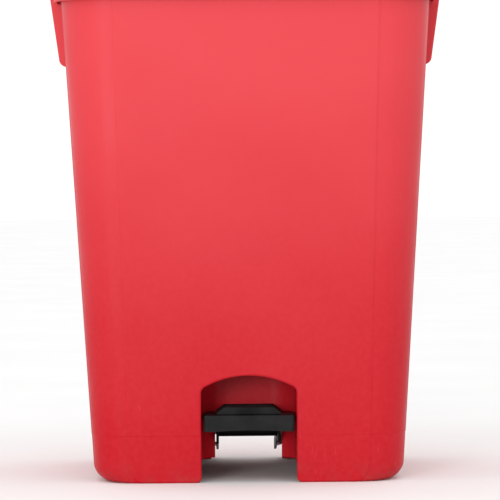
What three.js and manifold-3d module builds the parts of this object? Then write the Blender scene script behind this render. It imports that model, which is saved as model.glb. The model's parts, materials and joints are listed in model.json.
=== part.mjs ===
// Pedal bin of about 60 litres: a tapered one-piece body on a hollow plinth, a hinged lid, and a foot
// pedal whose lever lifts a bent-wire push rod up the back of the body to swing the lid open.
// Millimetres, +Z up, the front towards -Y. The origin is on the floor under the middle of the bin.
import * as THREE from "three";
import { mergeVertices } from "three/addons/utils/BufferGeometryUtils.js";
import Module from "manifold-3d";

const wasm = await Module();
wasm.setup();

// ---- Driving dimensions ----
const RIM_Z = 600;
const BASE_HALF_X = 175;
const BASE_HALF_Y = 160;
const TAPER = 0.0603; // how much each half width grows per millimetre of height
const LEAN = Math.atan(TAPER);
const WALL = 3.2;
const CORNER_R_BASE = 38;
const CORNER_R_RIM = 59;
const CORNER_STEPS = 8;
const SIDE_EDGE_R = 20; // the side walls round under at the floor, the front and back stay square
const FRONT_EDGE_R = 2.5;
const EDGE_SHARES = [0, 0.06, 0.2, 0.45, 1]; // heights of the rings round that edge, as shares of its radius

const FLOOR_Z = 54; // underside of the container floor, over the hollow plinth
const FLOOR_T = 4;

const NICHE_HALF_X = 53.5; // the arched foot opening in the front wall
const NICHE_APEX_Z = 120.6;
const NICHE_ARCH_R = 103;
const NICHE_SHOULDER_R = 8;
const NICHE_FOOT_R = 6;
const NICHE_BACK_Y = -92;
const NICHE_PLAN_R = 30;

const CHANNEL_HALF_X = 50; // the rod channel down the back
const CHANNEL_DEPTH = 20;
const BACK_OPENING_HALF_X = 43;
const NICHE_SKIRT_Z = 23; // the niche's side walls reach below the container floor to here
const NICHE_SKIRT_GAP_X = 38.2; // the lever passes between them

const COLLAR_Z = 541; // lower edge of the rim collar
const COLLAR_OUT = 8;
const COLLAR_T = 3;
const COLLAR_GAP_Z = 572; // the collar is open over the rod channel above this height

const WING_HALF_Y = 95; // the side handles
const WING_FOOT_Z = 470;
const WING_TOP_Z = 578;
const WING_FOOT_X = 212.5;
const WING_SLOPE = 0.128;
const WING_T = 3;
const WING_FOOT_R = 9;
const SCOOP_HALF_Y = 74; // the finger scoop in the wall behind a handle
const SCOOP_DEPTH = 12;
const SCOOP_LOW_Z = 495;
const SCOOP_HIGH_Z = 567;
const SCOOP_SLOPE = 12; // its floor is this much lower than its mouth at the top, and higher at the bottom
const SCOOP_END_GROWTH = 1.4; // an offset copy's sloped ends move out this much further than its floor
const GRIP_HALF_Y = 78; // the hand opening below a handle
const GRIP_TOP_Z = 494;
const GRIP_R = 14;

const HINGE_Y = 208;
const HINGE_Z = 603;
const LUG_R = 7;
const KNUCKLE_R = 6.5;
const HINGE_PIN_R = 3;
const HINGE_PIN_HEAD_R = 4.5;
const REACH_Y = HINGE_Y + LUG_R; // the furthest point at the back, and the lid's lip at the front
const KNUCKLE_X = 75; // middle of each hinge
const KNUCKLE_HALF = 8.5;
const LUG_T = 6;
const EAR_FOOT = [200, 568]; // where an ear leaves the collar, in (y, z)
const EAR_HEEL = [203.5, 572];
const EAR_HEEL_TURN = -0.35;
const EAR_NECK_Y = 201.3;

const LID_FRONT_Y = -209;
const LID_BACK_Y = 203;
const LID_HALF_X = 224;
const LID_FOOT_Z = 586;
const LID_TOP_Z = 648;
const LID_CORNER_R = 70;
const LID_T = 3;
const LID_BACK_EDGE_Z = 601;
const LID_BACK_CUT_Y = [128, 146]; // the lid's back skirt is cut away behind a line between these
const LIP_HALF_X = 56; // the finger lip at the front
const LIP_ROOT_HALF_X = 70;
const LIP_T = 6;
const SEAL_T = 2.6; // a rib under the lid follows the top of the channel's wall and shuts it off
const SEAL_Z = 601.2;

const BUMPER_R = 5; // rubber buttons that the lid rests on
const BUMPER_STEM_R = 2;
const BUMPER_TOP_Z = 606;
const BUMPER_PLACES = [
  [-120, -198.5],
  [120, -198.5],
  [-213.5, 96],
  [213.5, 96],
];

const CATCH_HALF = 20; // the fork under the lid
const CATCH_PLATE_T = 4;
const CATCH_CHEEK_T = 5;
const CATCH_TOP_Z = 622;
const CATCH_FRONT_Y = 180;
const CATCH_BACK_Y = 193.4;
const CATCH_HEEL_Z = 611;
const CATCH_SCREW_X = 9;
const CATCH_SCREW_Y = 189;
const CATCH_SCREW_LENGTH = 9;
const FORK_ROOT = 8.5; // distances from the hinge's axis to the fork's root and its slots' ends
const FORK_SLOT_ROOT = 11.5;
const FORK_PRONG_T = 3;

const ROD_R = 3;
const ROD_X = 44; // the push rod's two legs
const ROD_DEPTH = 5; // how far the legs' centre line lies under the back surface
const BEND_R = 11;
const HOOK_BEND = 5;
const SLEEVE_R = 4.5;
const SLEEVE_HALF = 25;

const LID_SWING = THREE.MathUtils.degToRad(78);
const PIVOT_Y = -5;
const PIVOT_Z = 45.5;
const AXLE_R = 3.5;
const ARM_X = 35.3; // middle of each lever arm
const ARM_T = 3;
const ARM_HUB_R = 8;
const EYE_Z = 17;
const EYE_R = 7;
const EYE_SLIP = 1.1; // the eye is longer than the rod's foot by this, because the lever swings in an arc
const FORK_SLIP = 0.8; // the cross bar strays this far from the fork's middle on its way up
const FORK_TURN = 0.034; // the fork leans this much further down, in radians, to share that out
const RUNNING = 0.4; // clearance at the linkage's sliding pivots

const TREAD_HALF_X = 51;
const TREAD_FRONT_Y = -166;
const TREAD_BACK_Y = -100;
const TREAD_Z = 76.5;
const TREAD_FOOT_Z = 58;
const TREAD_T = 4;
const TREAD_LIP_END = 12; // the front lip's foot is straight this far in from each end
const TREAD_LIP_RISE = 2.4;
const TREAD_RIB_X = 18;
const TREAD_RIB_T = 2.4;
const TREAD_RIB_DEPTH = 12;
// The lever arm's edges in (y, z): underneath from the tread to the axle, and on top back to the tread.
const ARM_UNDER = [
  [TREAD_FRONT_Y + 2, TREAD_FOOT_Z + 3],
  [-112, 53],
  [-97, 39],
  [PIVOT_Y - 12, 37.5],
];
const ARM_OVER = [
  [PIVOT_Y + 12, 51.5],
  [PIVOT_Y, 52.8],
  [-84, 51],
  [-97, 54],
];
const LEVER_TUBE_R = 6;

const PAD_HALF_X = 36.5;
const PAD_TOP_HALF_X = 28;
const PAD_FRONT_Y = -161;
const PAD_BACK_Y = -103;
const PAD_T = 8;
const PAD_EDGE_T = 1.5;
const PAD_GROOVES = 6;
const PAD_GROOVE_STEP = 9;
const PAD_GROOVE_WIDTH = 3;
const PAD_GROOVE_DEPTH = 1.6;
const PAD_STUD_X = 18;
const PAD_STUD_Y = -131;
const PAD_STUD_R = 2.1;

const AXLE_HALF = 68;
const AXLE_CAP_R = 6.5;
const BRACKET_X = 56;
const BRACKET_CHEEK_T = 6;
const BRACKET_CHEEK_HALF_Y = 18;
const BRACKET_FLANGE_X = 21;
const BRACKET_FLANGE_HALF_Y = 22;
const BRACKET_FLANGE_T = 4;
const BEARING_R = 9.5;
const CAP_ROOM_R = 7.2;
const BRACKET_SCREW_X = 70;
const BRACKET_SCREW_STEP = 14;
const BRACKET_SCREW_LENGTH = 11;

const GUIDE_HEIGHTS = [140, 470]; // the rod guides, measured up along the back surface
const GUIDE_HALF_Z = 8;
const GUIDE_FACE = 0.8; // how far a guide's face lies under the back surface
const GUIDE_SLOT = 4.8; // the mouths that the rod's legs are pressed in through
const GUIDE_SCREW_X = 18;
const GUIDE_SCREW_RECESS = 6;
const GUIDE_SCREW_RECESS_R = 4.4;
const GUIDE_SCREW_LENGTH = 20;
const GUIDE_POCKET_X = 30;
const GUIDE_POCKET_HALF_X = 4;
const GUIDE_POCKET_HALF_Z = 5;
const GUIDE_POCKET_DEPTH = 14.5;

const BOLT_R = 2; // every screw's shank
const BOSS_R = 5; // screw bosses inside the body and the lid
const BOSS_ROOF = 2.5;
const FLOOR_BOSS_Z = 64;
const GUIDE_BOSS_DEPTH = CHANNEL_DEPTH + WALL + 8;

const CLEARANCE = 0.3;
const ROUND_STEPS = 24;
const SMALL_ROUND_STEPS = 16;
const SMALL_R = 5; // round bars and bores under this radius take fewer sides
const sidesOf = (radius) => (radius < SMALL_R ? SMALL_ROUND_STEPS : ROUND_STEPS);

// ---- Materials ----
const plastic = (color, roughness) => new THREE.MeshStandardMaterial({ color, roughness, metalness: 0 });
const red = plastic(0xdf3f49, 0.45);
const black = plastic(0x141415, 0.5);
const rubber = plastic(0x1b1b1c, 0.85);
const nylon = plastic(0x2a2a2c, 0.4);
const steel = new THREE.MeshStandardMaterial({ color: 0xb9bcc0, roughness: 0.3, metalness: 1 });

// ---- Solids: closed meshes that manifold-3d joins and cuts ----
function solid(geometry) {
  const bare = geometry.index ? geometry.toNonIndexed() : geometry.clone();
  bare.deleteAttribute("normal");
  bare.deleteAttribute("uv");
  const merged = mergeVertices(bare, 1e-4);
  return new wasm.Manifold(
    new wasm.Mesh({
      numProp: 3,
      vertProperties: merged.attributes.position.array,
      triVerts: new Uint32Array(merged.index.array),
    }),
  );
}

function join(...solids) {
  return solids.reduce((all, next) => all.add(next));
}

function piece(name, shape, material) {
  const made = shape.getMesh();
  const geometry = new THREE.BufferGeometry();
  geometry.setAttribute("position", new THREE.BufferAttribute(made.vertProperties, 3));
  geometry.setIndex(new THREE.BufferAttribute(made.triVerts, 1));
  geometry.computeVertexNormals();
  const mesh = new THREE.Mesh(geometry, material);
  mesh.name = name;
  return mesh;
}

const straightSided = (points) => new THREE.Shape(points.map(([a, b]) => new THREE.Vector2(a, b)));

function extrude(outline, depth) {
  const shape = Array.isArray(outline) ? straightSided(outline) : outline;
  const options = { depth, bevelEnabled: false, steps: 1, curveSegments: ROUND_STEPS / 2 };
  return new THREE.ExtrudeGeometry(shape, options);
}

// Outlines in (y, z) drawn out along X, in (x, z) along Y, and in (x, y) along Z.
const ALONG_X = new THREE.Matrix4().makeBasis(
  new THREE.Vector3(0, 1, 0),
  new THREE.Vector3(0, 0, 1),
  new THREE.Vector3(1, 0, 0),
);
const acrossX = (outline, depth) => extrude(outline, depth).applyMatrix4(ALONG_X);
const alongX = (outline, x0, x1) => solid(acrossX(outline, x1 - x0).translate(x0, 0, 0));
const alongY = (outline, y0, y1) => solid(extrude(outline, y1 - y0).rotateX(Math.PI / 2).translate(0, y1, 0));
const alongZ = (outline, z0, z1) => solid(extrude(outline, z1 - z0).translate(0, 0, z0));

function box(x0, x1, y0, y1, z0, z1) {
  const made = new THREE.BoxGeometry(x1 - x0, y1 - y0, z1 - z0);
  return solid(made.translate((x0 + x1) / 2, (y0 + y1) / 2, (z0 + z1) / 2));
}

function roundX(radius, x0, x1, y, z) {
  const made = new THREE.CylinderGeometry(radius, radius, x1 - x0, sidesOf(radius)).rotateZ(Math.PI / 2);
  return solid(made.translate((x0 + x1) / 2, y, z));
}

function roundY(radius, x, y0, y1, z) {
  const made = new THREE.CylinderGeometry(radius, radius, y1 - y0, sidesOf(radius));
  return solid(made.translate(x, (y0 + y1) / 2, z));
}

function roundZ(radius, x, y, z0, z1) {
  const made = new THREE.CylinderGeometry(radius, radius, z1 - z0, sidesOf(radius)).rotateX(Math.PI / 2);
  return solid(made.translate(x, y, (z0 + z1) / 2));
}

const cutAll = (whole, cuts) => cuts.reduce((left, tool) => left.subtract(tool), whole);
const mirrored = (shape) => shape.mirror([1, 0, 0]);

// A ring is a rectangle with round corners at one height. A loft is the closed solid through a stack of them.
function ring(z, halfX, halfY, radius, centreY = 0) {
  const points = [];
  const corners = [[1, 1], [-1, 1], [-1, -1], [1, -1]];
  corners.forEach(([sideX, sideY], corner) => {
    for (let i = 0; i <= CORNER_STEPS; i++) {
      const angle = (Math.PI / 2) * (corner + i / CORNER_STEPS);
      const x = sideX * (halfX - radius) + radius * Math.cos(angle);
      const y = centreY + sideY * (halfY - radius) + radius * Math.sin(angle);
      points.push(new THREE.Vector3(x, y, z));
    }
  });
  return points;
}

function loft(rings) {
  const count = rings[0].length;
  const centres = [rings[0], rings.at(-1)].map((points) =>
    points.reduce((sum, p) => sum.add(p), new THREE.Vector3()).divideScalar(count),
  );
  const geometry = new THREE.BufferGeometry().setFromPoints([...rings.flat(), ...centres]);
  const foot = rings.length * count;
  const index = [];
  for (let i = 0; i < count; i++) {
    const next = (i + 1) % count;
    for (let level = 0; level < rings.length - 1; level++) {
      const low = level * count;
      const high = low + count;
      index.push(low + i, low + next, high + next, low + i, high + next, high + i);
    }
    const last = (rings.length - 1) * count;
    index.push(foot, next, i, foot + 1, last + i, last + next);
  }
  geometry.setIndex(index);
  return solid(geometry);
}

// ---- The body's outer form, and the same form moved in or out by an offset ----
const sideX = (z) => BASE_HALF_X + TAPER * z;
const backY = (z) => BASE_HALF_Y + TAPER * z;
const cornerR = (z) => CORNER_R_BASE + ((CORNER_R_RIM - CORNER_R_BASE) * z) / RIM_Z;
const rodLineY = (z) => backY(z) - ROD_DEPTH / Math.cos(LEAN);
// The cross bar is as far below the hinge at rest as it is above it with the lid open.
const barReach = (HINGE_Y - rodLineY(HINGE_Z)) / (Math.cos(LID_SWING / 2) - TAPER * Math.sin(LID_SWING / 2));
const wingX = (z) => WING_FOOT_X + WING_SLOPE * (z - WING_FOOT_Z);

function roundUnder(radius, z) {
  const up = Math.max(0, radius - Math.max(0, z));
  return radius - Math.sqrt(radius * radius - up * up);
}

function bodyForm(offset, z0, z1) {
  const edge = EDGE_SHARES.map((share) => share * SIDE_EDGE_R);
  const heights = [z0, ...edge.filter((z) => z > z0 && z < z1), z1];
  return loft(
    heights.map((z) =>
      ring(
        z,
        sideX(z) - roundUnder(SIDE_EDGE_R, z) + offset,
        backY(z) - roundUnder(FRONT_EDGE_R, z) + offset,
        cornerR(z) + offset,
      ),
    ),
  );
}

// The arched front opening, in (x, z), from a height upwards, grown by an offset.
function arch(offset, z0) {
  const centreZ = NICHE_APEX_Z - NICHE_ARCH_R;
  const shoulderX = NICHE_HALF_X - NICHE_SHOULDER_R;
  const rise = Math.sqrt((NICHE_ARCH_R - NICHE_SHOULDER_R) ** 2 - shoulderX ** 2);
  const turn = Math.atan2(rise, shoulderX);
  const small = NICHE_SHOULDER_R + offset;
  const shape = new THREE.Shape();
  const footX = NICHE_HALF_X + NICHE_FOOT_R;
  const footR = NICHE_FOOT_R - offset;
  if (z0 < 0) {
    shape.moveTo(-footX, z0);
    shape.lineTo(footX, z0);
    shape.lineTo(footX, NICHE_FOOT_R - footR);
    shape.absarc(footX, NICHE_FOOT_R, footR, -Math.PI / 2, -Math.PI, true);
  } else {
    shape.moveTo(-NICHE_HALF_X - offset, z0);
    shape.lineTo(NICHE_HALF_X + offset, z0);
  }
  shape.absarc(shoulderX, centreZ + rise, small, 0, turn, false);
  shape.absarc(0, centreZ, NICHE_ARCH_R + offset, turn, Math.PI - turn, false);
  shape.absarc(-shoulderX, centreZ + rise, small, Math.PI - turn, Math.PI, false);
  if (z0 < 0) {
    shape.absarc(-footX, NICHE_FOOT_R, footR, 0, -Math.PI / 2, true);
  }
  return shape;
}

function nichePlan(offset) {
  const half = NICHE_HALF_X + offset;
  const radius = NICHE_PLAN_R + offset;
  const turnX = NICHE_HALF_X - NICHE_PLAN_R;
  const turnY = NICHE_BACK_Y - NICHE_PLAN_R;
  const shape = new THREE.Shape();
  shape.moveTo(-half, -BASE_HALF_Y * 2);
  shape.lineTo(half, -BASE_HALF_Y * 2);
  shape.absarc(turnX, turnY, radius, 0, Math.PI / 2, false);
  shape.absarc(-turnX, turnY, radius, Math.PI / 2, Math.PI, false);
  return shape;
}

// The rod channel's outline in (y, z), from its floor out past the back surface.
function channel(depth, z0, z1) {
  const past = 20;
  return [
    [backY(z0) - depth, z0],
    [backY(z0) + past, z0],
    [backY(z1) + past, z1],
    [backY(z1) - depth, z1],
  ];
}

// The finger scoop behind a side handle, in (x, z), on the +X side.
function scoop(grow) {
  const low = SCOOP_LOW_Z - SCOOP_END_GROWTH * grow;
  const high = SCOOP_HIGH_Z + SCOOP_END_GROWTH * grow;
  const depth = SCOOP_DEPTH + grow;
  return [
    [sideX(low) + 1, low],
    [sideX(high) + 1, high],
    [sideX(high - SCOOP_SLOPE) - depth, high - SCOOP_SLOPE],
    [sideX(low + SCOOP_SLOPE) - depth, low + SCOOP_SLOPE],
  ];
}

// A handle on the +X side: a hollow wedge that hangs from the collar, open below for the hand.
function sideHandle() {
  const top = WING_TOP_Z + 2 * WING_T;
  const shape = new THREE.Shape();
  shape.moveTo(sideX(WING_FOOT_Z) - 1, WING_FOOT_Z);
  shape.absarc(WING_FOOT_X - WING_FOOT_R, WING_FOOT_Z + WING_FOOT_R, WING_FOOT_R, -Math.PI / 2, 0, false);
  shape.lineTo(wingX(WING_TOP_Z), WING_TOP_Z);
  shape.lineTo(sideX(top) + COLLAR_OUT - 1, top);
  shape.lineTo(sideX(top) - 1, top);
  const below = WING_FOOT_Z - 10;
  const roof = WING_TOP_Z - 2 * WING_T;
  const gap = [
    [sideX(below), below],
    [wingX(below) - WING_T, below],
    [wingX(roof) - WING_T, roof],
    [sideX(roof), roof],
  ];
  const grip = new THREE.Shape();
  grip.moveTo(-GRIP_HALF_Y, below);
  grip.lineTo(GRIP_HALF_Y, below);
  grip.absarc(GRIP_HALF_Y - GRIP_R, GRIP_TOP_Z - GRIP_R, GRIP_R, 0, Math.PI / 2, false);
  grip.absarc(-GRIP_HALF_Y + GRIP_R, GRIP_TOP_Z - GRIP_R, GRIP_R, Math.PI / 2, Math.PI, false);
  return cutAll(alongY(shape, -WING_HALF_Y, WING_HALF_Y), [
    alongY(gap, -WING_HALF_Y + WING_T, WING_HALF_Y - WING_T),
    alongX(grip, sideX(GRIP_TOP_Z) + 0.5, WING_FOOT_X * 1.2),
  ]);
}

function collar() {
  const hollow = bodyForm(COLLAR_OUT - COLLAR_T, COLLAR_Z - 1, RIM_Z - COLLAR_T);
  const inside = bodyForm(-1, COLLAR_Z - 1, RIM_Z + 1);
  const handles = [sideHandle(), mirrored(sideHandle())];
  const gapHalf = CHANNEL_HALF_X + 1;
  const gapOverChannel = box(-gapHalf, gapHalf, BASE_HALF_Y, REACH_Y * 1.1, COLLAR_GAP_Z, RIM_Z + 1);
  const band = bodyForm(COLLAR_OUT, COLLAR_Z, RIM_Z).subtract(hollow).subtract(inside);
  return join(band.subtract(gapOverChannel), ...handles);
}

// The middle of each hinge ear, across the bin.
const EAR_MIDDLES = [-1, 1].flatMap((side) =>
  [-1, 1].map((end) => side * KNUCKLE_X + end * (KNUCKLE_HALF + CLEARANCE + LUG_T / 2)),
);

// Two ears at each hinge stand off the collar and hold the hinge pin.
function hingeLugs() {
  const shape = new THREE.Shape();
  const frontY = LID_BACK_Y + 0.7;
  const frontTurn = Math.acos((frontY - HINGE_Y) / LUG_R);
  const neckZ = RIM_Z - 0.5;
  shape.moveTo(...EAR_FOOT);
  shape.lineTo(...EAR_HEEL);
  shape.absarc(HINGE_Y, HINGE_Z, LUG_R, EAR_HEEL_TURN, frontTurn, false);
  shape.lineTo(frontY, neckZ);
  shape.lineTo(EAR_NECK_Y, neckZ);
  return join(...EAR_MIDDLES.map((middle) => alongX(shape, middle - LUG_T / 2, middle + LUG_T / 2)));
}

const pinHole = () => roundX(HINGE_PIN_R + CLEARANCE, -BASE_HALF_X, BASE_HALF_X, HINGE_Y, HINGE_Z);

// ---- Body ----
// Lays a solid built against an upright back face onto the leaning one.
function leanBack(shape) {
  const leaning = shape.rotate([-THREE.MathUtils.radToDeg(LEAN), 0, 0]);
  return leaning.translate([0, BASE_HALF_Y, 0]);
}

function eachBracketScrew(make) {
  return [-1, 1].flatMap((side) =>
    [-1, 1].map((end) => make(side * BRACKET_SCREW_X, PIVOT_Y + end * BRACKET_SCREW_STEP)),
  );
}

function eachGuideScrew(make) {
  return GUIDE_HEIGHTS.flatMap((z) => [-1, 1].map((side) => make(side * GUIDE_SCREW_X, z)));
}

// The rib that the rod channel makes inside the body.
function channelRib() {
  const half = CHANNEL_HALF_X + WALL;
  return alongX(channel(CHANNEL_DEPTH + WALL, -2, RIM_Z + 2), -half, half);
}

// The foot opening's room, or the block of wall round it, from a height upwards.
function nicheRoom(offset, z0, foot) {
  const through = alongY(arch(offset, z0), -BASE_HALF_Y * 1.5, 0);
  return through.intersect(alongZ(nichePlan(offset), foot, NICHE_APEX_Z * 2));
}

function container() {
  const scoopEnd = SCOOP_HALF_Y + WALL;
  const scoopBlock = alongY(scoop(WALL), -scoopEnd, scoopEnd);
  const guideBoss = (x, z) => leanBack(roundY(BOSS_R, x, -GUIDE_BOSS_DEPTH, -CHANNEL_DEPTH, z));
  const floorBoss = (x, y) => roundZ(BOSS_R, x, y, FLOOR_Z, FLOOR_BOSS_Z);
  return cutAll(bodyForm(-WALL, FLOOR_Z + FLOOR_T, RIM_Z + 5), [
    nicheRoom(WALL, FLOOR_Z, 0),
    channelRib(),
    scoopBlock,
    mirrored(scoopBlock),
    ...eachGuideScrew(guideBoss),
    ...eachBracketScrew(floorBoss),
  ]);
}

function plinthHollow() {
  const gap = box(-NICHE_SKIRT_GAP_X, NICHE_SKIRT_GAP_X, -BASE_HALF_Y * 1.5, 0, 0, FLOOR_Z + 2);
  const nicheSkirt = alongZ(nichePlan(WALL), NICHE_SKIRT_Z, FLOOR_Z + 1).subtract(gap);
  return cutAll(bodyForm(-WALL, -1, FLOOR_Z), [channelRib(), nicheSkirt]);
}

// Under the collar the channel stays inside the collar's skin.
function channelUnderCollar() {
  const top = RIM_Z + 5;
  const skin = COLLAR_OUT - COLLAR_T;
  const outline = [
    [backY(COLLAR_Z) - CHANNEL_DEPTH, COLLAR_Z],
    [backY(COLLAR_Z) + skin, COLLAR_Z],
    [backY(top) + skin, top],
    [backY(top) - CHANNEL_DEPTH, top],
  ];
  return alongX(outline, -CHANNEL_HALF_X, CHANNEL_HALF_X);
}

function bodyShell() {
  const rodChannel = alongX(channel(CHANNEL_DEPTH, -5, COLLAR_Z + 5), -CHANNEL_HALF_X, CHANNEL_HALF_X);
  const openingY = [BASE_HALF_Y * 0.75, BASE_HALF_Y * 1.25];
  const backOpening = box(-BACK_OPENING_HALF_X, BACK_OPENING_HALF_X, ...openingY, -5, FLOOR_Z - 1);
  const scoopVoid = alongY(scoop(0), -SCOOP_HALF_Y, SCOOP_HALF_Y);
  const roomHalf = KNUCKLE_HALF + CLEARANCE;
  const knuckleRoom = (x) => roundX(KNUCKLE_R + 1, x - roomHalf, x + roomHalf, HINGE_Y, HINGE_Z);
  const bracketHole = (x, y) => roundZ(BOLT_R + CLEARANCE, x, y, FLOOR_Z - 5, FLOOR_BOSS_Z - BOSS_ROOF);
  const guideHoleEnd = -GUIDE_BOSS_DEPTH + BOSS_ROOF;
  const guideHole = (x, z) => leanBack(roundY(BOLT_R + CLEARANCE, x, guideHoleEnd, 5, z));
  return cutAll(join(bodyForm(0, 0, RIM_Z), collar(), hingeLugs()), [
    container(),
    plinthHollow(),
    rodChannel,
    channelUnderCollar(),
    nicheRoom(0, -5, -10),
    backOpening,
    scoopVoid,
    mirrored(scoopVoid),
    knuckleRoom(-KNUCKLE_X),
    knuckleRoom(KNUCKLE_X),
    pinHole(),
    ...eachBracketScrew(bracketHole),
    ...eachGuideScrew(guideHole),
  ]);
}

// ---- Fasteners ----
// A pan-head screw with its head's underside at the origin and its shank along +Z.
const HEAD_R = 3.8;
const HEAD_T = 2.4;

function screw(name, shankLength) {
  const profile = [
    [0, -HEAD_T],
    [HEAD_R - 1.2, -HEAD_T],
    [HEAD_R - 0.2, -1.5],
    [HEAD_R, 0],
    [BOLT_R, 0],
    [BOLT_R, shankLength - 1.5],
    [0.6, shankLength],
    [0, shankLength],
  ];
  const lathe = new THREE.LatheGeometry(profile.map(([r, z]) => new THREE.Vector2(r, z)), 16);
  lathe.rotateX(Math.PI / 2);
  const slotHalf = HEAD_R / 2;
  const slotFloor = -HEAD_T / 2;
  const slots = [
    box(-slotHalf, slotHalf, -0.5, 0.5, -HEAD_T - 0.6, slotFloor),
    box(-0.5, 0.5, -slotHalf, slotHalf, -HEAD_T - 0.6, slotFloor),
  ];
  return piece(name, cutAll(solid(lathe), slots), steel);
}

// ---- Lever, tread and axle ----
// One arm of the lever in (y, z): under the tread, back past the axle, and down to the rod eye.
const eyeY = rodLineY(EYE_Z);

function leverArm() {
  const shape = new THREE.Shape();
  shape.moveTo(TREAD_FRONT_Y + 2, TREAD_Z - 1);
  ARM_UNDER.forEach(([y, z]) => shape.lineTo(y, z));
  shape.absarc(PIVOT_Y, PIVOT_Z, ARM_HUB_R, -Math.PI * 0.62, -Math.PI * 0.4, false);
  shape.absarc(eyeY, EYE_Z, EYE_R, -Math.PI * 0.56, Math.PI * 0.44, false);
  ARM_OVER.forEach(([y, z]) => shape.lineTo(y, z));
  shape.lineTo(TREAD_BACK_Y, TREAD_Z - 1);
  const eyeSlot = new THREE.Path();
  const slotR = ROD_R + RUNNING;
  eyeSlot.absarc(eyeY, EYE_Z, slotR, -Math.PI / 2, Math.PI / 2, false);
  eyeSlot.absarc(eyeY - EYE_SLIP, EYE_Z, slotR, Math.PI / 2, Math.PI * 1.5, false);
  shape.holes.push(eyeSlot);
  return alongX(shape, ARM_X - ARM_T / 2, ARM_X + ARM_T / 2);
}

// The tread's front lip in (x, z): its foot rises a little in the middle.
function treadLip() {
  const straight = TREAD_HALF_X - TREAD_LIP_END;
  const lip = new THREE.Shape();
  lip.moveTo(-TREAD_HALF_X, TREAD_Z);
  lip.lineTo(-TREAD_HALF_X, TREAD_FOOT_Z);
  lip.lineTo(-straight, TREAD_FOOT_Z);
  lip.quadraticCurveTo(0, TREAD_FOOT_Z + TREAD_LIP_RISE, straight, TREAD_FOOT_Z);
  lip.lineTo(TREAD_HALF_X, TREAD_FOOT_Z);
  lip.lineTo(TREAD_HALF_X, TREAD_Z);
  return alongY(lip, TREAD_FRONT_Y, TREAD_FRONT_Y + TREAD_T);
}

function tread() {
  const deck = box(-TREAD_HALF_X, TREAD_HALF_X, TREAD_FRONT_Y, TREAD_BACK_Y, TREAD_Z - TREAD_T, TREAD_Z);
  const flangeOutline = [
    [TREAD_FRONT_Y, TREAD_FOOT_Z],
    [TREAD_FRONT_Y + 20, TREAD_FOOT_Z + 2],
    [TREAD_BACK_Y, TREAD_Z - 10],
    [TREAD_BACK_Y, TREAD_Z],
    [TREAD_FRONT_Y, TREAD_Z],
  ];
  const flange = alongX(flangeOutline, TREAD_HALF_X - TREAD_T, TREAD_HALF_X);
  const ribs = [-TREAD_RIB_X, 0, TREAD_RIB_X].map((x) => {
    const half = TREAD_RIB_T / 2;
    return box(x - half, x + half, TREAD_FRONT_Y + 1, TREAD_BACK_Y, TREAD_Z - TREAD_RIB_DEPTH, TREAD_Z - 1);
  });
  const whole = join(deck, treadLip(), mirrored(flange), flange, ...ribs);
  return whole.intersect(alongZ(nichePlan(-2.5), 0, NICHE_APEX_Z));
}

const eachPadStud = (radius, z0, z1) =>
  [-1, 1].map((side) => roundZ(radius, side * PAD_STUD_X, PAD_STUD_Y, z0, z1));

function pedalLever() {
  const tube = roundX(LEVER_TUBE_R, -ARM_X, ARM_X, PIVOT_Y, PIVOT_Z);
  const arm = leverArm();
  const bore = roundX(AXLE_R + CLEARANCE, -ARM_X * 2, ARM_X * 2, PIVOT_Y, PIVOT_Z);
  const studHoles = eachPadStud(PAD_STUD_R + CLEARANCE, TREAD_Z - 20, TREAD_Z + 5);
  return piece("pedal_lever", cutAll(join(tread(), tube, arm, mirrored(arm)), [bore, ...studHoles]), black);
}

// The raised rubber pad on the tread, ribbed across, with two studs pressed through the deck.
function treadPad() {
  const base = TREAD_Z + CLEARANCE;
  const top = base + PAD_T;
  const outline = [
    [-PAD_HALF_X, base],
    [PAD_HALF_X, base],
    [PAD_HALF_X, base + PAD_EDGE_T],
    [PAD_TOP_HALF_X, top],
    [-PAD_TOP_HALF_X, top],
    [-PAD_HALF_X, base + PAD_EDGE_T],
  ];
  const block = alongY(outline, PAD_FRONT_Y, PAD_BACK_Y);
  const grooveHalf = PAD_TOP_HALF_X - 2;
  const grooves = Array.from({ length: PAD_GROOVES }, (_, i) => {
    const y = PAD_FRONT_Y + 7 + i * PAD_GROOVE_STEP;
    return box(-grooveHalf, grooveHalf, y, y + PAD_GROOVE_WIDTH, top - PAD_GROOVE_DEPTH, top + 1);
  });
  const studs = eachPadStud(PAD_STUD_R, TREAD_Z - TREAD_T - 4, base + 1);
  return piece("tread_pad", cutAll(join(block, ...studs), grooves), rubber);
}

const pivotAxle = () => piece("pivot_axle", roundX(AXLE_R, -AXLE_HALF, AXLE_HALF, PIVOT_Y, PIVOT_Z), steel);

// A push-on cap that keeps the axle in its bracket, seated on the +X end.
function axleCap() {
  const start = BRACKET_X + BRACKET_CHEEK_T + CLEARANCE;
  const outer = roundX(AXLE_CAP_R, start, AXLE_HALF + 2, PIVOT_Y, PIVOT_Z);
  return outer.subtract(roundX(AXLE_R + CLEARANCE, start - 1, AXLE_HALF + CLEARANCE, PIVOT_Y, PIVOT_Z));
}

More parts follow.
